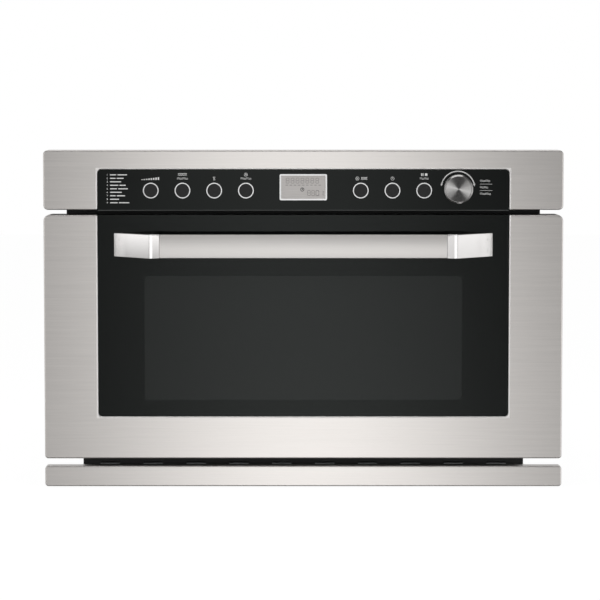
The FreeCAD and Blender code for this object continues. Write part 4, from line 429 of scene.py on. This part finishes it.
def circuit_board(name):
    surface = Surface(name, {"Specular IOR Level": 0.5, "Coat Weight": 0.3, "Coat Roughness": 0.15})
    tracks = surface.cells(260.0, jitter=0.35)
    copper = surface.spread(tracks, 1.0, 0.0, start=0.44, end=0.5)
    surface.set("Base Color", surface.mix(copper, (0.018, 0.09, 0.035), (0.05, 0.2, 0.075)))
    surface.set("Roughness", surface.spread(copper, 0.45, 0.3))
    surface.bump(copper, depth=0.05 * MM, strength=0.4)
    return surface.material


def print_ink(name, colour):
    surface = Surface(name, {"Specular IOR Level": 0.2})
    cover = surface.noise(1500.0, detail=2.0)
    surface.set("Base Color", surface.mix(cover, shade(colour, 0.92), colour))
    surface.set("Roughness", surface.spread(cover, 0.5, 0.65))
    surface.bump(cover, depth=0.01 * MM, strength=0.2)
    return surface.material


FINISHES = {
    # The stainless sheet's last colour is the painted highlight on its edges round the glass panes
    "stainless": fascia_steel("stainless_look", (0.603, 0.579, 0.558), (0.95, 0.93, 0.91)),
    "handle_steel": brushed_metal("handle_look", (0.67, 0.65, 0.63), 0.42, LONG_GRAIN, "Z", 0.3),
    # The bracket's second colour is the painted highlight at bend and foot, the third the dark joint
    "bright_steel": bracket_steel("bracket_look", (0.60, 0.588, 0.582), (0.95, 0.94, 0.935),
                                  (0.2, 0.196, 0.194)),
    "knob_metal": brushed_metal("knob_look", (0.36, 0.354, 0.35), 0.36, SPUN_GRAIN, "Y", 0.6),
    "silver_trim": plain_metal("trim_look", (0.66, 0.66, 0.66), 0.3, contrast=0.04),
    "black_glass": black_glass("black_glass_look"),
    "clear_glass": tinted_glass("clear_glass_look", (0.88, 0.91, 0.90), 0.5),
    "tray_glass": tinted_glass("tray_glass_look", (0.90, 0.94, 0.92), 0.5, 0.03),
    "display": display_glass("display_look"),
    "button_black": dotted_cap("button_look"),
    "black_plastic": moulded_plastic("black_plastic_look", (0.018, 0.018, 0.018), 0.5),
    "grey_plastic": moulded_plastic("grey_plastic_look", (0.36, 0.36, 0.35), 0.5),
    "black_paint": powder_paint("black_paint_look", (0.014, 0.014, 0.014), 0.5),
    "galvanised": spangled_zinc("galvanised_look"),
    "cavity_enamel": speckled_enamel("enamel_look"),
    "screen_black": perforated_screen("screen_look"),
    "mica": mica_sheet("mica_look"),
    "heater_steel": heated_tube("heater_look"),
    "motor_steel": plain_metal("motor_look", (0.52, 0.51, 0.47), 0.42),
    "fan_metal": plain_metal("fan_look", (0.5, 0.5, 0.49), 0.4),
    "core_steel": laminated_core("core_look"),
    "board_green": circuit_board("board_look"),
    "screw_zinc": plain_metal("screw_look", (0.6, 0.6, 0.58), 0.34, 200.0),
    "lamp_white": print_ink("lamp_look", (0.8, 0.79, 0.76)),
}
DOOR_GLASS_LOOK = smoked_glass("door_glass_look")
FRIT_LOOK = print_ink("frit_look", (0.0035, 0.0038, 0.0037))
PRINT_LOOK = print_ink("print_look", (0.78, 0.78, 0.77))
SEGMENT_LOOK = print_ink("segment_look", (0.045, 0.045, 0.048))
GHOST_LOOK = print_ink("ghost_look", (0.2, 0.19, 0.184))
CAP_LOOK = plain_metal("cap_look", (0.33, 0.325, 0.32), 0.22, 300.0, 0.06)


def dress_nodes():
    for node in NODES.values():
        for slot in node.material_slots:
            slot.material = FINISHES[slot.material.name]
    NODES["door_glass"].material_slots[0].material = DOOR_GLASS_LOOK


def add_piece(name, mesh, body, look):
    piece = bpy.data.objects.new(name, mesh)
    bpy.context.scene.collection.objects.link(piece)
    mesh.materials.append(look)
    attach(piece, body)
    return piece


def face_outwards(mesh):
    shape = bmesh.new()
    shape.from_mesh(mesh)
    bmesh.ops.recalc_face_normals(shape, faces=shape.faces)
    shape.to_mesh(mesh)
    shape.free()


def smooth_faces(mesh, sharp):
    """Smooth shading, but for edges sharper than so many degrees."""
    mesh.polygons.foreach_set("use_smooth", [True] * len(mesh.polygons))
    mesh.set_sharp_from_angle(angle=math.radians(sharp))


# Steps in which round lines are drawn, and how far a mitred corner may reach
ARC_STEPS = 24
RING_STEPS = 28
CORNER_STEPS = 8
MITRE_LEAST = 0.4


class Artwork:
    """Flat strips in the plane of the front, gathered into one thin mesh. Sizes are metres."""

    def __init__(self, front, back):
        self.front = front
        self.back = back
        self.points = []
        self.faces = []

    def strip(self, upper, lower, closed=False):
        start = len(self.points)
        for (ux, uz), (lx, lz) in zip(upper, lower):
            self.points += [(ux, self.front, uz), (lx, self.front, lz)]
            self.points += [(ux, self.back, uz), (lx, self.back, lz)]
        count = len(upper)
        for index in range(count if closed else count - 1):
            here = start + 4 * index
            there = start + 4 * ((index + 1) % count)
            self.faces += [(here, here + 1, there + 1, there), (here + 2, there + 2, there + 3, here + 3),
                           (here, there, there + 2, here + 2), (here + 1, here + 3, there + 3, there + 1)]
        if not closed:
            last = start + 4 * (count - 1)
            self.faces += [(start, start + 2, start + 3, start + 1), (last, last + 1, last + 3, last + 2)]

    def line(self, path, width, closed=False):
        sides = [offset_corner(path, index, width / 2, closed) for index in range(len(path))]
        upper = [(x + dx, z + dz) for (x, z), (dx, dz) in zip(path, sides)]
        lower = [(x - dx, z - dz) for (x, z), (dx, dz) in zip(path, sides)]
        self.strip(upper, lower, closed)

    def bar(self, low_x, low_z, high_x, high_z):
        self.strip([(low_x, high_z), (high_x, high_z)], [(low_x, low_z), (high_x, low_z)])

    def arc(self, centre, radius, first, last, width):
        angles = [math.radians(first + (last - first) * step / ARC_STEPS) for step in range(ARC_STEPS + 1)]
        path = [(centre[0] + radius * math.cos(turn), centre[1] + radius * math.sin(turn)) for turn in angles]
        self.line(path, width)

    def ring(self, centre, radius, width):
        angles = [2 * math.pi * step / RING_STEPS for step in range(RING_STEPS)]
        path = [(centre[0] + radius * math.cos(turn), centre[1] + radius * math.sin(turn)) for turn in angles]
        self.line(path, width, closed=True)

    def mesh(self, name):
        made = bpy.data.meshes.new(name)
        made.from_pydata(self.points, [], self.faces)
        face_outwards(made)
        return made


def offset_corner(path, index, half, closed):
    """The mitred sideways step from a path's point to the edge of a line along it."""
    count = len(path)
    before = path[(index - 1) % count] if closed or index > 0 else path[index]
    after = path[(index + 1) % count] if closed or index < count - 1 else path[index]
    here = Vector(path[index])
    into = (here - Vector(before)).normalized() if before != path[index] else None
    away = (Vector(after) - here).normalized() if after != path[index] else into
    into = into or away
    along = (into + away).normalized()
    side = Vector((-along.y, along.x))
    stretch = max(side.dot(Vector((-away.y, away.x))), MITRE_LEAST)
    return tuple(side * (half / stretch))


def rounded_outline(low, high, radius):
    corners = [((high[0] - radius, high[1] - radius), 0), ((low[0] + radius, high[1] - radius), 90),
               ((low[0] + radius, low[1] + radius), 180), ((high[0] - radius, low[1] + radius), 270)]
    outline = []
    for (x, z), first in corners:
        for step in range(CORNER_STEPS + 1):
            turn = math.radians(first + 90 * step / CORNER_STEPS)
            outline.append((x + radius * math.cos(turn), z + radius * math.sin(turn)))
    return outline


# Black print behind the door glass, open at the viewing window
FRIT_THICK = 0.1 * MM
FRIT_COVER = 0.12 * MM
FRIT_EDGE = 0.6 * MM
WINDOW_ROUND = 9 * MM


def add_frit():
    front = GLASS_HIGH.y - FRIT_COVER
    art = Artwork(front, front + FRIT_THICK)
    outer = rounded_outline((GLASS_LOW.x + FRIT_EDGE, GLASS_LOW.z + FRIT_EDGE),
                            (GLASS_HIGH.x - FRIT_EDGE, GLASS_HIGH.z - FRIT_EDGE), FRIT_EDGE)
    inner = rounded_outline(WINDOW_LOW, WINDOW_HIGH, WINDOW_ROUND)
    art.strip(outer, inner, closed=True)
    add_piece("door_frit", art.mesh("door_frit"), "door", FRIT_LOOK)


# Printed marks on the control glass
PRINT_LIFT = 0.005 * MM
PRINT_THICK = 0.06 * MM
LINE_FINE = 0.45 * MM
LINE_BOLD = 1.5 * MM

# Signs over the buttons: their places, and the sizes of each sign
BUTTONS_Z = (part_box("button_1")[0].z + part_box("button_1")[1].z) / 2
LABEL_RISE = 17.5 * MM
LABEL_UPPER_RISE = 23.2 * MM
PAIR_STEP = 5 * MM
SIGN_RADIUS = 2.4 * MM
STAIR_COUNT = 8
STAIR_PITCH = 3.4 * MM
STAIR_WIDTH = 2 * MM
STAIR_FOOT = -2 * MM
STAIR_FIRST = -1.2 * MM
STAIR_RISE = 0.45 * MM
WAVE_ROWS = 2
WAVE_PITCH = 1.5 * MM
WAVE_HEIGHT = 0.45 * MM
WAVE_STEPS = 16
WAVE_TURN = math.pi / 4
WAVE_WIDE = 16 * MM
WAVE_NARROW = 13 * MM
GRILL_WIDE = 13 * MM
GRILL_NARROW = 9 * MM
GRILL_BAR = (1.2 * MM, 1.9 * MM)
GRILL_TEETH = 10
GRILL_TIPS = (-1.6 * MM, 0.4 * MM)
FAN_BLADES = 4
FAN_TURN = math.radians(20)
FAN_SWEEP = 0.6
FAN_BEND = 0.5
FAN_TIP = 0.72
HOURGLASS_HALF = (1.7 * MM, 2.2 * MM)
CLOCK_HANDS = (0.7, 0.5)
STOP_HALF = 1.9 * MM
STOP_BARS = ((-2.4, -1.7), (-1.3, -0.6), (0.5, 2.4))

# Arc with two arrow tips over the knob, and ruled notes beside it
ARC_RADIUS = 24.3 * MM
ARC_RISE = 1.1 * MM
ARC_FIRST = 14
ARC_LAST = 166
ARROW_LENGTH = 3.4 * MM
ARROW_HALF = 1.7 * MM
ARROW_TIP_HALF = 0.1 * MM
NOTE_LEFT = 32 * MM
NOTE_RISE = 2 * MM
NOTE_LENGTHS = (15 * MM, 12 * MM, 16 * MM)
NOTE_PITCH = 9.4 * MM
NOTE_RULE = 18 * MM
NOTE_RULE_HALF = 0.2 * MM

# Numbered list at the left end: its bars' lengths are in millimetres
LIST_LEFT = -286.5 * MM
LIST_BARS = -281.5 * MM
LIST_TOP = 458.6 * MM
LIST_PITCH = 5.08 * MM
LIST_TEXT = 3.6 * MM
LIST_BAR_HALF = 0.7 * MM
LIST_SPACE = 1.8
LIST_LENGTHS = ((9, 14), (8, 10), (16,), (12, 9), (10, 14), (17,), (8, 12), (13,), (11, 15))


def button_x(number):
    low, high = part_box("button_%d" % number)
    return (low.x + high.x) / 2


def draw_stairs(art, x, z):
    for step in range(STAIR_COUNT):
        left = x + (step - STAIR_COUNT / 2) * STAIR_PITCH
        art.bar(left, z + STAIR_FOOT, left + STAIR_WIDTH, z + STAIR_FIRST + STAIR_RISE * step)


def draw_waves(art, x, z, width):
    for row in range(WAVE_ROWS):
        height = z + (row - (WAVE_ROWS - 1) / 2) * WAVE_PITCH
        path = [(x + width * (step / WAVE_STEPS - 0.5), height + WAVE_HEIGHT * math.sin(step * WAVE_TURN))
                for step in range(WAVE_STEPS + 1)]
        art.line(path, LINE_FINE)


def draw_grill(art, x, z, width):
    art.bar(x - width / 2, z + GRILL_BAR[0], x + width / 2, z + GRILL_BAR[1])
    path = [(x + width * (step / GRILL_TEETH - 0.5), z + GRILL_TIPS[step % 2])
            for step in range(GRILL_TEETH + 1)]
    art.line(path, LINE_FINE)


def draw_fan(art, x, z):
    art.ring((x, z), SIGN_RADIUS, LINE_FINE)
    for blade in range(FAN_BLADES):
        turn = 2 * math.pi * blade / FAN_BLADES + FAN_TURN
        path = [(x, z)]
        for share, angle in ((FAN_BEND, turn + FAN_SWEEP), (FAN_TIP, turn)):
            reach = share * SIGN_RADIUS
            path.append((x + reach * math.cos(angle), z + reach * math.sin(angle)))
        art.line(path, LINE_FINE)


def draw_hourglass(art, x, z):
    wide, tall = HOURGLASS_HALF
    left, right, low, high = x - wide, x + wide, z - tall, z + tall
    art.line([(left, high), (right, high)], LINE_FINE)
    art.line([(left, low), (right, low)], LINE_FINE)
    art.line([(left, high), (right, low)], LINE_FINE)
    art.line([(right, high), (left, low)], LINE_FINE)


def draw_clock(art, x, z, width):
    art.ring((x, z), SIGN_RADIUS, width)
    up, across = (share * SIGN_RADIUS for share in CLOCK_HANDS)
    art.line([(x, z + up), (x, z), (x + across, z)], width)


def draw_stop(art, x, z):
    for left, right in STOP_BARS:
        art.bar(x + left * STOP_HALF, z - STOP_HALF, x + right * STOP_HALF, z + STOP_HALF)


def draw_labels(art):
    upper = BUTTONS_Z + LABEL_UPPER_RISE
    lower = BUTTONS_Z + LABEL_RISE
    draw_stairs(art, button_x(1), lower)
    draw_waves(art, button_x(2), lower, WAVE_WIDE)
    draw_grill(art, button_x(2), upper, GRILL_WIDE)
    draw_hourglass(art, button_x(3), lower)
    draw_waves(art, button_x(4), lower, WAVE_WIDE)
    draw_fan(art, button_x(4), upper)
    draw_fan(art, button_x(5) - PAIR_STEP, lower)
    draw_grill(art, button_x(5) + PAIR_STEP, lower, GRILL_NARROW)
    draw_clock(art, button_x(6), lower, LINE_FINE)
    draw_stop(art, button_x(7), upper)
    draw_waves(art, button_x(7), lower, WAVE_NARROW)


def draw_dial_arc(art):
    centre = Vector((KNOB_X, KNOB_Z + ARC_RISE))
    art.arc(centre, ARC_RADIUS, ARC_FIRST, ARC_LAST, LINE_BOLD)
    for turn, way in ((ARC_FIRST, -1), (ARC_LAST, 1)):
        angle = math.radians(turn)
        out = Vector((math.cos(angle), math.sin(angle)))
        root = centre + out * ARC_RADIUS
        tip = root + Vector((-out.y, out.x)) * way * ARROW_LENGTH
        wide = out * ARROW_HALF
        slim = out * ARROW_TIP_HALF
        art.strip([tuple(root + wide), tuple(tip + slim)], [tuple(root - wide), tuple(tip - slim)])


def draw_list(art):
    for row, lengths in enumerate(LIST_LENGTHS):
        z = LIST_TOP - row * LIST_PITCH
        x = LIST_BARS
        for length in lengths:
            art.bar(x, z - LIST_BAR_HALF, x + length * MM, z + LIST_BAR_HALF)
            x += (length + LIST_SPACE) * MM


def draw_side_notes(art):
    left = KNOB_X + NOTE_LEFT
    middle = KNOB_Z + NOTE_RISE
    for row, length in enumerate(NOTE_LENGTHS):
        draw_waves(art, left + length / 2, middle + (1 - row) * NOTE_PITCH, length)
    for rule in (-1, 1):
        z = middle + rule * NOTE_PITCH / 2
        art.bar(left, z - NOTE_RULE_HALF, left + NOTE_RULE, z + NOTE_RULE_HALF)


def add_numbers(front):
    text = bpy.data.curves.new("list_numbers", "FONT")
    text.body = "\n".join(str(number) for number in range(1, 10))
    text.size = LIST_TEXT
    text.space_line = LIST_PITCH / LIST_TEXT
    text.extrude = PRINT_THICK / 2
    maker = bpy.data.objects.new("number_maker", text)
    bpy.context.scene.collection.objects.link(maker)
    mesh = bpy.data.meshes.new_from_object(maker.evaluated_get(bpy.context.evaluated_depsgraph_get()))
    bpy.data.objects.remove(maker)
    for vertex in mesh.vertices:
        x, up, lift = vertex.co
        vertex.co = (LIST_LEFT + x, front - lift + PRINT_THICK / 2, LIST_TOP - LIST_TEXT / 3 + up)
    mesh.materials.clear()
    add_piece("list_numbers", mesh, "casing", PRINT_LOOK)


def add_print():
    back = PANEL_LOW.y - PRINT_LIFT
    art = Artwork(back - PRINT_THICK, back)
    draw_labels(art)
    draw_dial_arc(art)
    draw_list(art)
    draw_side_notes(art)
    add_piece("panel_print", art.mesh("panel_print"), "casing", PRINT_LOOK)
    add_numbers(back - PRINT_THICK)


# Marks on the display: pale digits and dashes above, a clock and dark digits below
SEGMENT = 0.55 * MM
SEGMENT_ROOM = 0.3 * MM
DIGIT_WIDTH = 4.2 * MM
DIGIT_HEIGHT = 7.4 * MM
SEGMENTS = {"0": "abcdef", "1": "bc", "8": "abcdefg"}
GHOST_COUNT = 7
GHOST_LEFT = -25 * MM
GHOST_PITCH = 7.2 * MM
GHOST_RISE = 9.5 * MM
DASH_COUNT = 9
DASH_LEFT = -26 * MM
DASH_PITCH = 6 * MM
DASH_LENGTH = 3.6 * MM
DASH_RISE = (2.6 * MM, 3.3 * MM)
TIME_SHOWN = "8801"
TIME_PALE = 2
TIME_LEFT = 6 * MM
TIME_PITCH = 6.2 * MM
TIME_DROP = 8.5 * MM
CLOCK_X = -1.5 * MM
CLOCK_DROP = 3.4 * MM
CLOCK_LINE = 0.9 * MM


def draw_digit(art, x, z, shown):
    half = DIGIT_HEIGHT / 2
    right = x + DIGIT_WIDTH
    flat = {"a": z + half, "g": z, "d": z - half}
    tall = {"b": (right, z), "c": (right, z - half), "e": (x, z - half), "f": (x, z)}
    for part in shown:
        if part in flat:
            art.line([(x + SEGMENT_ROOM, flat[part]), (right - SEGMENT_ROOM, flat[part])], SEGMENT)
        else:
            side, low = tall[part]
            art.line([(side, low + SEGMENT_ROOM), (side, low + half - SEGMENT_ROOM)], SEGMENT)


def add_display_marks():
    back = SCREEN_LOW.y - PRINT_LIFT
    ghost = Artwork(back - PRINT_THICK, back)
    dark = Artwork(back - PRINT_THICK, back)
    middle = (SCREEN_LOW.z + SCREEN_HIGH.z) / 2
    for place in range(GHOST_COUNT):
        draw_digit(ghost, GHOST_LEFT + GHOST_PITCH * place, middle + GHOST_RISE, SEGMENTS["8"])
    for dash in range(DASH_COUNT):
        left = DASH_LEFT + DASH_PITCH * dash
        ghost.bar(left, middle + DASH_RISE[0], left + DASH_LENGTH, middle + DASH_RISE[1])
    for place, shown in enumerate(TIME_SHOWN):
        digits = ghost if place < TIME_PALE else dark
        draw_digit(digits, TIME_LEFT + TIME_PITCH * place, middle - TIME_DROP, SEGMENTS[shown])
    draw_clock(dark, CLOCK_X, middle - CLOCK_DROP, CLOCK_LINE)
    add_piece("display_ghosts", ghost.mesh("display_ghosts"), "casing", GHOST_LOOK)
    add_piece("display_clock", dark.mesh("display_clock"), "casing", SEGMENT_LOOK)


# Turned cap on the knob: a bevelled rim round a face of fine rings. Radius and rise, in millimetres
CAP_RIM = ((20.85, -1.7), (20.85, -0.72), (18.85, 0.85), (18.55, 0.87), (18.3, 0.55))
CAP_RING_PITCH = 0.8
CAP_RING_DEPTH = 0.2
CAP_SIDES = 96
CAP_SHARP = 15


def knob_cap_profile():
    profile = list(CAP_RIM)
    radius, rise = profile[-1]
    while radius > CAP_RING_PITCH:
        profile.append((radius - CAP_RING_PITCH / 2, rise - CAP_RING_DEPTH))
        profile.append((radius - CAP_RING_PITCH, rise))
        radius -= CAP_RING_PITCH
    return profile


def add_knob_cap():
    profile = knob_cap_profile()
    points = []
    for radius, rise in profile:
        for step in range(CAP_SIDES):
            turn = 2 * math.pi * step / CAP_SIDES
            x = KNOB_X + radius * MM * math.cos(turn)
            points.append((x, KNOB_LOW.y - rise * MM, KNOB_Z + radius * MM * math.sin(turn)))
    faces = []
    for ring in range(len(profile) - 1):
        for step in range(CAP_SIDES):
            corner = ring * CAP_SIDES + step
            beside = ring * CAP_SIDES + (step + 1) % CAP_SIDES
            faces.append((corner, beside, beside + CAP_SIDES, corner + CAP_SIDES))
    faces.append(tuple(range(CAP_SIDES)))
    faces.append(tuple(range(len(points) - CAP_SIDES, len(points))))
    mesh = bpy.data.meshes.new("knob_cap")
    mesh.from_pydata(points, [], faces)
    face_outwards(mesh)
    smooth_faces(mesh, CAP_SHARP)
    add_piece("knob_cap", mesh, "dial_knob", CAP_LOOK)


# Handle: a bar with a crowned face, and the flat ends of its brackets
CROWN = 1.5 * MM
BAR_ROUND = 1.6 * MM
BAR_INSET = 0.5 * MM
EDGE_SHARP = 25
CROWN_STEPS = 16
ROUND_STEPS = 6


def bar_profile(crown, inset):
    """The bar's outline across its length: depths and heights, from the lower back corner round the front."""
    middle = (BAR_LOW.z + BAR_HIGH.z) / 2
    half = (BAR_HIGH.z - BAR_LOW.z) / 2 - inset
    flat = half - BAR_ROUND
    shoulder = BAR_LOW.y + crown + BAR_ROUND
    profile = [(BAR_HIGH.y, middle - half)]
    for step in range(ROUND_STEPS):
        turn = math.pi / 2 * step / ROUND_STEPS
        profile.append((shoulder - BAR_ROUND * math.sin(turn), middle - flat - BAR_ROUND * math.cos(turn)))
    for step in range(CROWN_STEPS + 1):
        share = 2 * step / CROWN_STEPS - 1
        profile.append((BAR_LOW.y + crown * share * share, middle + share * flat))
    for step in range(1, ROUND_STEPS + 1):
        turn = math.pi / 2 * step / ROUND_STEPS
        profile.append((shoulder - BAR_ROUND * math.cos(turn), middle + flat + BAR_ROUND * math.sin(turn)))
    return profile + [(BAR_HIGH.y, middle + half)]


def extrude(name, profile, runs, sharp):
    points = []
    faces = []
    count = len(profile)
    for low, high in runs:
        start = len(points)
        points += [(x, y, z) for x in (low, high) for y, z in profile]
        faces += [tuple(range(start, start + count)), tuple(range(start + count, start + 2 * count))]
        for here in range(count):
            after = (here + 1) % count
            faces.append((start + here, start + after, start + count + after, start + count + here))
    mesh = bpy.data.meshes.new(name)
    mesh.from_pydata(points, [], faces)
    face_outwards(mesh)
    smooth_faces(mesh, sharp)
    return mesh


def add_handle():
    bar = extrude("crowned_bar", bar_profile(CROWN, BAR_INSET), [(-BAR_JOINT, BAR_JOINT)], EDGE_SHARP)
    piece = add_piece("crowned_bar", bar, "door", FINISHES["handle_steel"])
    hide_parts("handle_bar")
    runs = [(-BAR_HIGH.x, -BAR_JOINT), (BAR_JOINT, BAR_HIGH.x)]
    ends = extrude("bracket_ends", bar_profile(0.0, 0.0), runs, EDGE_SHARP)
    add_piece("bracket_ends", ends, "door", FINISHES["bright_steel"])


# Air slots: a bright lip over each, and a sloping blade behind it
SLOT_COUNT = 10
SLOT_PITCH = 63.5 * MM
SLOT_LENGTH = 29 * MM
LIP_TOP = 30.9 * MM
LIP_HEIGHT = 1.3 * MM
LIP_THICK = 0.8 * MM
LIP_SETBACK = 1.0 * MM
BLADE_TOP = 33.4 * MM
BLADE_RUN = 2.6 * MM
BLADE_DROP = 3.6 * MM
BLADE_THICK = 0.6 * MM
BLADE_GAP = 0.2 * MM


def slot_runs():
    middles = [(slot - (SLOT_COUNT - 1) / 2) * SLOT_PITCH for slot in range(SLOT_COUNT)]
    return [(middle - SLOT_LENGTH / 2, middle + SLOT_LENGTH / 2) for middle in middles]


def add_vent_blades():
    """A blade behind each air slot hides the works and lets the air out."""
    front = GRILLE_LOW.y + LIP_SETBACK + LIP_THICK + BLADE_GAP
    profile = [(front, BLADE_TOP), (front + BLADE_RUN, BLADE_TOP - BLADE_DROP),
               (front + BLADE_RUN, BLADE_TOP - BLADE_DROP - BLADE_THICK), (front, BLADE_TOP - BLADE_THICK)]
    mesh = extrude("vent_blades", profile, slot_runs(), EDGE_SHARP)
    add_piece("vent_blades", mesh, "casing", FINISHES["black_plastic"])


def add_vent_lips():
    front = GRILLE_LOW.y + LIP_SETBACK
    art = Artwork(front, front + LIP_THICK)
    for left, right in slot_runs():
        art.bar(left, LIP_TOP - LIP_HEIGHT, right, LIP_TOP)
    add_piece("vent_lips", art.mesh("vent_lips"), "casing", FINISHES["galvanised"])


def floor_look():
    surface = Surface("floor_look", {"Roughness": 0.9, "Specular IOR Level": 0.0})
    grain = surface.noise(30.0)
    surface.set("Base Color", surface.mix(grain, shade(FLOOR_COLOUR, 0.99), FLOOR_COLOUR))
    path = surface.node("LightPath")
    seen = surface.sum("MAXIMUM", path.outputs["Is Camera Ray"], path.outputs["Is Transmission Ray"])
    share = surface.sum("MULTIPLY", seen, FLOOR_GLOW_SHARE)
    glow = surface.node("Emission", {"Color": WHITE, "Strength": FLOOR_GLOW})
    blend = surface.node("MixShader")
    surface.feed(blend.inputs[0], share)
    surface.links.new(surface.shader.outputs["BSDF"], blend.inputs[1])
    surface.links.new(glow.outputs["Emission"], blend.inputs[2])
    output = next(node for node in surface.nodes if node.type == "OUTPUT_MATERIAL")
    surface.links.new(blend.outputs["Shader"], output.inputs["Surface"])
    return surface.material


def add_floor():
    half = FLOOR_SIZE / 2
    mesh = bpy.data.meshes.new("floor")
    corners = [(-half, -half, -FLOOR_DROP), (half, -half, -FLOOR_DROP), (half, half, -FLOOR_DROP),
               (-half, half, -FLOOR_DROP)]
    mesh.from_pydata(corners, [], [(0, 1, 2, 3)])
    mesh.materials.append(floor_look())
    floor = bpy.data.objects.new("floor", mesh)
    floor.visible_glossy = False
    bpy.context.scene.collection.objects.link(floor)


def light_world():
    world = bpy.data.worlds.new("studio")
    world.use_nodes = True
    nodes = world.node_tree.nodes
    links = world.node_tree.links
    path = nodes.new("ShaderNodeLightPath")
    where = nodes.new("ShaderNodeSeparateXYZ")
    links.new(nodes.new("ShaderNodeTexCoord").outputs["Generated"], where.inputs["Vector"])

    def ramp(value, low, high, start=0.0, end=1.0):
        step = nodes.new("ShaderNodeMapRange")
        links.new(value, step.inputs["Value"])
        step.inputs["From Min"].default_value = start
        step.inputs["From Max"].default_value = end
        for socket, level in (("To Min", low), ("To Max", high)):
            if isinstance(level, float):
                step.inputs[socket].default_value = level
            else:
                links.new(level, step.inputs[socket])
        return step.outputs["Result"]

    band = nodes.new("ShaderNodeMath")
    band.operation = "MINIMUM"
    links.new(ramp(where.outputs["Z"], MIRRORED_DARK, MIRRORED, *MIRRORED_RISE), band.inputs[0])
    links.new(ramp(where.outputs["Z"], MIRRORED, MIRRORED_DARK, *MIRRORED_FALL), band.inputs[1])
    mirrored = ramp(where.outputs["Y"], band.outputs["Value"], MIRRORED_BEHIND, *MIRRORED_TURN)
    level = ramp(path.outputs["Is Glossy Ray"], AMBIENT, mirrored)
    level = ramp(path.outputs["Is Transmission Ray"], level, 1.0)
    level = ramp(path.outputs["Is Camera Ray"], level, 1.0)
    background = nodes["Background"]
    background.inputs["Color"].default_value = (*WHITE, 1.0)
    links.new(level, background.inputs["Strength"])
    bpy.context.scene.world = world


def add_softbox(name, place, aim, width, height, radiance, roll=0.0):
    lamp = bpy.data.lights.new(name, "AREA")
    lamp.shape = "RECTANGLE"
    lamp.size = width
    lamp.size_y = height
    lamp.energy = radiance * math.pi * width * height
    box = bpy.data.objects.new(name, lamp)
    box.location = place
    facing = (Vector(aim) - Vector(place)).to_track_quat("-Z", "Y")
    box.rotation_euler = (facing @ Quaternion((0.0, 0.0, 1.0), math.radians(roll))).to_euler()
    box.visible_camera = False
    bpy.context.scene.collection.objects.link(box)
    return lamp


def soften_edges(lamp):
    """Lets a softbox fade to nothing at its left and right edges, and brighten downwards."""
    lamp.use_nodes = True
    nodes = lamp.node_tree.nodes
    links = lamp.node_tree.links
    where = nodes.new("ShaderNodeSeparateXYZ")
    links.new(nodes.new("ShaderNodeNewGeometry").outputs["Parametric"], where.inputs["Vector"])
    level = where.outputs["X"]
    for operation, value in (("MULTIPLY", math.pi), ("SINE", 0.0), ("POWER", 2.0)):
        step = nodes.new("ShaderNodeMath")
        step.operation = operation
        links.new(level, step.inputs[0])
        step.inputs[1].default_value = value
        level = step.outputs["Value"]
    fall = nodes.new("ShaderNodeMapRange")
    links.new(where.outputs["Y"], fall.inputs["Value"])
    fall.inputs["To Min"].default_value = FRONT_LOW
    fall.inputs["To Max"].default_value = FRONT_HIGH
    both = nodes.new("ShaderNodeMath")
    both.operation = "MULTIPLY"
    links.new(level, both.inputs[0])
    links.new(fall.outputs["Result"], both.inputs[1])
    links.new(both.outputs["Value"], nodes["Emission"].inputs["Strength"])


def light_studio():
    light_world()
    soften_edges(add_softbox(*FRONT_BOX, roll=FRONT_ROLL))
    for box in SOFTBOXES:
        add_softbox(*box)


def set_camera():
    lens = bpy.data.cameras.new("photo_camera")
    lens.sensor_width = SENSOR
    lens.lens = SENSOR * VIEW_DISTANCE / VIEW_WIDTH
    lens.clip_end = VIEW_REACH
    camera = bpy.data.objects.new("photo_camera", lens)
    rise = math.radians(VIEW_ELEVATION)
    target = Vector(VIEW_CENTRE) * MM
    back = Vector((0.0, -math.cos(rise), math.sin(rise))) * VIEW_DISTANCE * MM
    camera.location = target + back
    camera.rotation_euler = (-back).to_track_quat("-Z", "Y").to_euler()
    bpy.context.scene.collection.objects.link(camera)
    bpy.context.scene.camera = camera


dress_nodes()
add_frit()
add_print()
add_display_marks()
add_knob_cap()
add_handle()
add_vent_lips()
add_vent_blades()
add_floor()
light_studio()
set_camera()
bpy.context.scene.view_settings.view_transform = "Standard"
